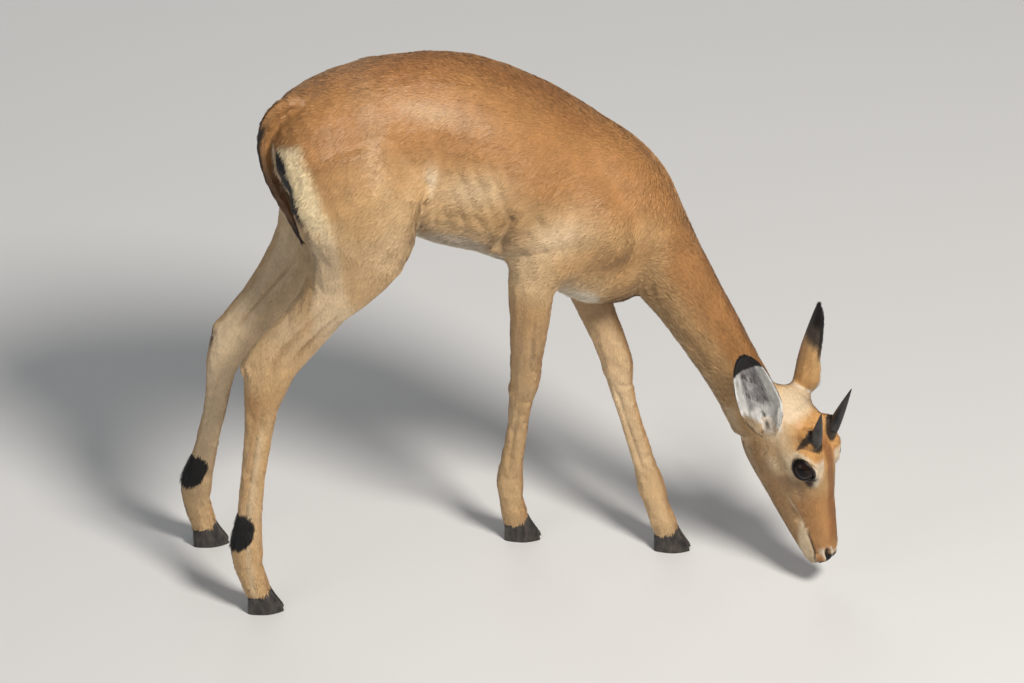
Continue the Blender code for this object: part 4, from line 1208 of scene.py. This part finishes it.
def ripples(points, regions):
    """Small waves in the lie of the coat: neck, cheek, elbow, flank and thigh."""
    x, _, z = points.T
    along, up, _ = in_head(points)
    bend = 2.2 * wave_noise(points, 32, 43)
    neck = 0.8 * np.sin(points @ neck_up * 840 + bend)
    cheek = rise_fall(along, 0.02, 0.04, 0.14, 0.11) * ease(up, 0.034, 0.020)
    cheek = cheek * np.sin(along * 1450 + up * 500 + 0.8 * bend) * 0.6
    body = blob(x, 0.020, 0.030, z, 0.500, 0.035) + blob(x, -0.110, 0.022, z, 0.570, 0.045)
    body = np.clip(body + blob(x, -0.165, 0.030, z, 0.510, 0.050), 0, 1)
    body = body * np.sin(z * 1020 - x * 420 + bend)
    wave = np.select([regions == NECK, regions == HEAD, regions == TRUNK], [neck, cheek, body])
    return wave * (0.55 + 0.45 * wave_noise(points, 60, 41))


def scatter(triangles, corner_points, density):
    """Places spread evenly by area times density: triangle and corner shares."""
    a, b, c = (corner_points[triangles[:, k]] for k in range(3))
    area = np.linalg.norm(np.cross(b - a, c - a), axis=1) / 2
    reach = np.cumsum(area * density[triangles].mean(axis=1))
    count = int(reach[-1])
    where = (np.arange(count) + rng.random(count)).clip(0, reach[-1] - 1e-6)
    r1, r2 = np.sqrt(rng.random(count)), rng.random(count)
    return np.searchsorted(reach, where), np.stack([1 - r1, r1 * (1 - r2), r1 * r2], 1)


def hairless(points, regions):
    """Where no tuft grows: in the eye opening, on the nose pad, under horns and hooves."""
    along, up, across = in_head(points)
    off, face = np.abs(across), regions == HEAD
    bare = (along > 0.1985) & (up > 0.007) & (up < 0.030) & (off < 0.0060)
    bare |= (along > 0.18) & (nostril(along, up, off) < 1.05)
    bare |= (along > 0.145) & (np.abs(up - mouth_line(along)) < 0.0009)
    covered = points[:, 2] < BARE_BELOW
    for sign in eye_frames:
        u, v, w = in_eye(sign, points)
        bare |= (w > -0.003) & (lid_shape(u, v) < 1.10)
        covered |= np.linalg.norm(points - horn_frame(sign)[0], axis=1) < HORN_RADIUS * 0.9
    return (bare & face) | covered


def grow_coat():
    """All tufts: their places, sizes, directions and colours."""
    fields = coat_fields()
    triangles = get(skin_mesh.loops, "vertex_index", 1, np.int32).reshape(-1, 3)
    uv = get(skin_mesh.uv_layers["OFBake"].uv, "vector", 2).reshape(-1, 3, 2)
    chosen, shares = scatter(triangles, skin_points, 1.0 / fields[:, 3] ** 2)
    corners = triangles[chosen]

    def at(values):
        return (values[corners] * shares[..., None]).sum(axis=1)

    grown = ~hairless(at(skin_points), region_of[corners[:, 0]])
    chosen, shares, corners = chosen[grown], shares[grown], corners[grown]
    points, regions = at(skin_points), region_of[corners[:, 0]]
    normals, flow, sizes = unit(at(skin_normals)), unit(at(flow_of)), at(fields)
    flow = unit(flow - normals * (flow * normals).sum(1)[:, None])
    count = len(points)
    swing = (rng.normal(0, 0.16, count) * np.where(regions == TAIL, 0.4, 1.0))[:, None]
    flow = unit(flow * np.cos(swing) + np.cross(normals, flow) * np.sin(swing))
    roll = rng.normal(0, 0.16, count)[:, None]
    blade = np.cross(normals, flow) * np.cos(roll) + normals * np.sin(roll)
    length = sizes[:, 0] * rng.uniform(0.75, 1.25, count)
    width = sizes[:, 1] * rng.uniform(0.8, 1.2, count)
    lift = np.clip(sizes[:, 2] * rng.uniform(0.6, 1.4, count), 0.02, 1.0)
    wave = ripples(points, regions)
    lift = np.clip(lift + 0.09 * wave, 0.02, 1.0)
    colour = markings(points, normals, regions, at(level_of[:, None])[:, 0])
    colour = colour * (rng.uniform(0.90, 1.10, count) * (1 + 0.05 * wave))[:, None]
    return dict(points=points, regions=regions, normals=normals, flow=flow, blade=blade,
                length=length, width=width, lift=lift, colour=colour,
                spots=(uv[chosen] * shares[..., None]).sum(axis=1))


# Along a tuft: place, width and rise at each cross-section; its last point is the tip.
SHORT_TUFT = ((0.0, 1.0, -0.10), (0.5, 0.85, 0.62), (1.0, 0.0, 1.0))
LONG_TUFT = ((0.0, 1.0, -0.08), (0.34, 1.0, 0.50), (0.68, 0.70, 0.86), (1.0, 0.0, 1.0))
SPOT = 0.0015                # half the size of a tuft's place in the UV map


def tufts(name, pick, form):
    """One joined mesh of bent blades."""
    rise = np.sin(pick["lift"]) * pick["length"]
    rows, shades, spots = [], [], []
    for step, wide, high in form:
        middle = pick["points"] + pick["flow"] * (pick["length"] * step)[:, None]
        middle = middle + pick["normals"] * (rise * high)[:, None]
        half = pick["blade"] * (pick["width"] * wide / 2)[:, None]
        for way in (-1, 1) if wide else (0,):
            rows.append(middle + way * half)
            shades.append(pick["colour"] * (0.84 + 0.20 * step))
            spots.append(pick["spots"] + (way * SPOT, (2 * step - 1) * SPOT))
    tip = 2 * (len(form) - 2)
    pattern = [(tip, tip + 2, tip + 1)]
    for a in range(0, tip, 2):
        pattern += [(a, a + 2, a + 1), (a + 1, a + 2, a + 3)]
    starts = np.arange(len(middle))[:, None, None] * len(rows)
    triangles = (starts + np.array(pattern)).reshape(-1, 3)
    mesh = mesh_from(name, np.stack(rows, 1).reshape(-1, 3), triangles)
    paint_points(mesh, np.stack(shades, 1).reshape(-1, 3))
    places = np.stack(spots, 1).reshape(-1, 2)[triangles.ravel()]
    layer = mesh.uv_layers.new(name="OFBake")
    layer.uv.foreach_set("vector", places.astype(np.float32).ravel())
    finish_piece(add(name, mesh), coat_material, "coat")


COAT_PARTS = {
    "coat_trunk": (TRUNK,), "coat_neck": (NECK,), "coat_head": (HEAD,),
    "coat_tail": (TAIL,), "coat_hind_legs": HIND,
    "coat_fore_legs": (FORE_R, FORE_L), "coat_ears": EAR_PAIR,
}
coat = grow_coat()
for name, regions in COAT_PARTS.items():
    members = np.flatnonzero(np.isin(coat["regions"], regions))
    form = LONG_TUFT if name in ("coat_tail", "coat_ears") else SHORT_TUFT
    pieces = math.ceil(len(members) * (2 * len(form) - 3) / PIECE_TRIANGLES)
    for index, group in enumerate(np.array_split(members, pieces)):
        label = name if pieces == 1 else "%s_%d" % (name, index + 1)
        tufts(label, {key: values[group] for key, values in coat.items()}, form)


# ---------------------------------------------------------------- eyes, lids, horns, hooves
def circle(count):
    """Cosines and sines of even turns, as columns."""
    turn = 2 * np.pi * np.arange(count)[:, None] / count
    return np.cos(turn), np.sin(turn)


def lofted(name, rings, looped=False):
    """A surface through equal rings of points, looped or with its ends filled by fans."""
    rings = np.array(rings)
    rows, ring = rings.shape[:2]
    points = rings.reshape(-1, 3)
    index = np.arange(rows * ring).reshape(rows, ring)
    if looped:
        index = np.concatenate([index, index[:1]])
    after = np.roll(index, -1, axis=1)
    faces = [(index[:-1], after[:-1], after[1:]), (index[:-1], after[1:], index[1:])]
    if not looped:
        points = np.concatenate([points, rings[[0, -1]].mean(axis=1)])
        faces.append((np.full(ring, len(points) - 2), after[0], index[0]))
        faces.append((np.full(ring, len(points) - 1), index[-1], after[-1]))
    faces = np.concatenate([np.stack(corners, -1).reshape(-1, 3) for corners in faces])
    mesh = mesh_from(name, points, faces)
    with editing(mesh) as shell:
        bmesh.ops.remove_doubles(shell, verts=shell.verts, dist=0.000001)
        bmesh.ops.recalc_face_normals(shell, faces=shell.faces)
    mesh.shade_smooth()
    return add(name, mesh)


EYE_DARK, IRIS, PUPIL = srgb(20, 14, 12), srgb(30, 18, 12), srgb(6, 5, 5)

for sign, side_name in SIDES:
    centre, out, along, rise = eye_frames[sign]
    c, s = circle(56)
    around = along * c + rise * s
    ball = lofted("eyeball_" + side_name, [
        centre + (out * math.cos(angle) + around * math.sin(angle)) * EYE_RADIUS
        for angle in np.linspace(0, math.pi, 41)])
    u, v, w = in_eye(sign, points_of(ball.data))
    colour = mixed(EYE_DARK, IRIS, ease(np.hypot(u, v), 0.0118, 0.0106) * (w > 0))
    pupil = ease(np.hypot(u / 0.0072, v / 0.0046), 1.1, 0.9) * (w > 0)
    paint_points(ball.data, mixed(colour, PUPIL, pupil))
    finish_piece(ball, eye_material, "eye", "eye_" + side_name)
    # the lid's wet edge, drawn out to a corner nose-ward
    c, s = circle(72)
    stretch = 1.02 * (1 + LID_CORNER * np.maximum(0.0, c) ** 8)
    u, v = LID_HALF[0] * c * stretch, LID_HALF[1] * s * stretch + LID_RISE
    w = np.sqrt((EYE_RADIUS + 0.0007) ** 2 - u * u - v * v)
    tube = centre + along * u + rise * v + out * w
    outward = unit(tube - centre)
    cross = np.cross(unit(np.roll(tube, -1, axis=0) - np.roll(tube, 1, axis=0)), outward)
    lid = lofted("lid_" + side_name, [tube + outward * 0.00070 * s + cross * 0.0009 * c
                                      for c, s in zip(*circle(10))], looped=True)
    paint_points(lid.data, srgb(16, 13, 12))
    finish_piece(lid, lid_material, "coat")

for sign, side_name in SIDES:
    base, lean = horn_frame(sign)
    aside = unit(np.cross(lean, (0, 0, 1)))
    c, s = circle(32)
    around = aside * c + np.cross(lean, aside) * s
    rings = []
    for t in np.sin(np.linspace(0, math.pi / 2, 64)):
        reach = t * (HORN_LENGTH + HORN_SUNK) - HORN_SUNK
        radius = HORN_RADIUS * (1 - t ** 1.5) + 0.0005
        ridge = 0.00022 * math.sin(reach * 1500) * ease(reach, 0.030, 0.004)
        rings.append(base + lean * reach + around * (radius + ridge))
    horn = lofted("horn_sheath_" + side_name, rings)
    finish_piece(horn, horn_material, "horn", "horn_" + side_name)

for foot, heading in FEET.items():
    turn = math.radians(heading)
    forward = np.array([math.cos(turn), math.sin(turn), 0.0])
    side = np.array([-math.sin(turn), math.cos(turn), 0.0])
    boxes = np.array([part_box("hoof_%s_%s_claw" % (foot, hand)) for _, hand in SIDES])
    middle = (boxes[:, 0].min(axis=0) + boxes[:, 1].max(axis=0)) / 2 * (1, 1, 0)
    middle = middle - forward * 0.0038
    c, s = circle(48)
    toe, heel = np.maximum(0.0, c), -0.40 * HOOF_LENGTH
    for sign, hand in SIDES:
        # straighter on its inner side, its tip drawn in
        taper = 0.38 + 0.62 * (1 - toe) ** 0.6
        taper = np.where(s * sign < 0, 0.88 * (0.85 + 0.15 * taper), taper)
        outline = taper * np.abs(s) ** np.where(c > 0, 0.8, 0.5) * np.where(s > 0, 1, -1)
        rings = []
        for t in np.linspace(0, 1, 19):
            waist, sole = math.sin(math.pi * t), (1 - t) ** 12
            length = HOOF_LENGTH * (1 - 0.40 * t - 0.030 * waist) - 0.0022 * sole
            width = CLAW_WIDTH * (1 - 0.10 * t - 0.04 * waist) - 0.0018 * sole
            reach = (0.5 + 0.5 * c) * length
            across = 0.5 * width * outline - sign * 0.22 * CLAW_WIDTH * toe ** 2
            across += sign * (0.5 * CLAW_WIDTH + 0.0006)
            slope = CORONET_BACK + (CORONET_FRONT - CORONET_BACK) * reach / HOOF_LENGTH
            level = slope * t + 0.0012 * t ** 6
            growth = 0.00015 * np.sin(level * 2400) * (0 < t < 1)
            rings.append(middle + forward * (reach + heel + growth) + side * across
                         + level * (0, 0, 1))
        claw = lofted("claw_%s_%s" % (foot, hand), rings)
        finish_piece(claw, hoof_material, "hoof", "hoof_%s_%s_claw" % (foot, hand))


# ---------------------------------------------------------------- stage, light and camera
bpy.ops.mesh.primitive_plane_add(size=60.0, location=(0, 0, 0))
floor = bpy.context.object
floor.name = "floor"
floor.data.materials.append(new_material(
    "floor", {"Base Color": (0.62, 0.61, 0.59, 1.0), "Roughness": 0.85}))

centre = (np.array(cad_low) + np.array(cad_high)) / 2


def aim(piece, target, way, distance):
    """Puts a light or camera at a distance from the target, and turns it there."""
    piece.location = Vector(target + way * distance)
    piece.rotation_mode = "QUATERNION"
    piece.rotation_quaternion = Vector(way).to_track_quat("Z", "Y")


for name, way, distance, size, power, colour in (
        ("key", (0.50, -0.62, 0.95), 4.0, 1.0, 192.0, (1.0, 0.965, 0.92)),
        ("fill", (-0.9, -0.8, 0.55), 4.5, 3.0, 26.0, (0.92, 0.96, 1.0)),
        ("back", (-0.3, 1.0, 0.8), 4.5, 3.0, 26.0, (0.96, 0.98, 1.0))):
    light = bpy.data.lights.new(name, "AREA")
    light.shape, light.size, light.energy, light.color = "DISK", size, power, colour
    aim(add(name, light), centre, unit(way), distance)

world = bpy.data.worlds.new("studio")
world.use_nodes = True
feed(world.node_tree.nodes["Background"], {"Color": (0.86, 0.90, 0.96, 1.0), "Strength": 0.26})
bpy.context.scene.world = world
bpy.context.scene.view_settings.view_transform = "Standard"

CAMERA_RISE = math.radians(34.0)
CAMERA_FAR, CAMERA_SPAN, SENSOR = 12.0, 0.0012 * 1024, 36.0
CAMERA_TARGET = np.array([-0.00284, -0.03396, 0.3436])
camera = bpy.data.cameras.new("camera")
camera.sensor_width = SENSOR
camera.lens = SENSOR * CAMERA_FAR / CAMERA_SPAN
camera.clip_start, camera.clip_end = 0.1, 100.0
viewer = add("camera", camera)
way = np.array([0.0, -math.cos(CAMERA_RISE), math.sin(CAMERA_RISE)])
aim(viewer, CAMERA_TARGET, way, CAMERA_FAR)
bpy.context.scene.camera = viewer
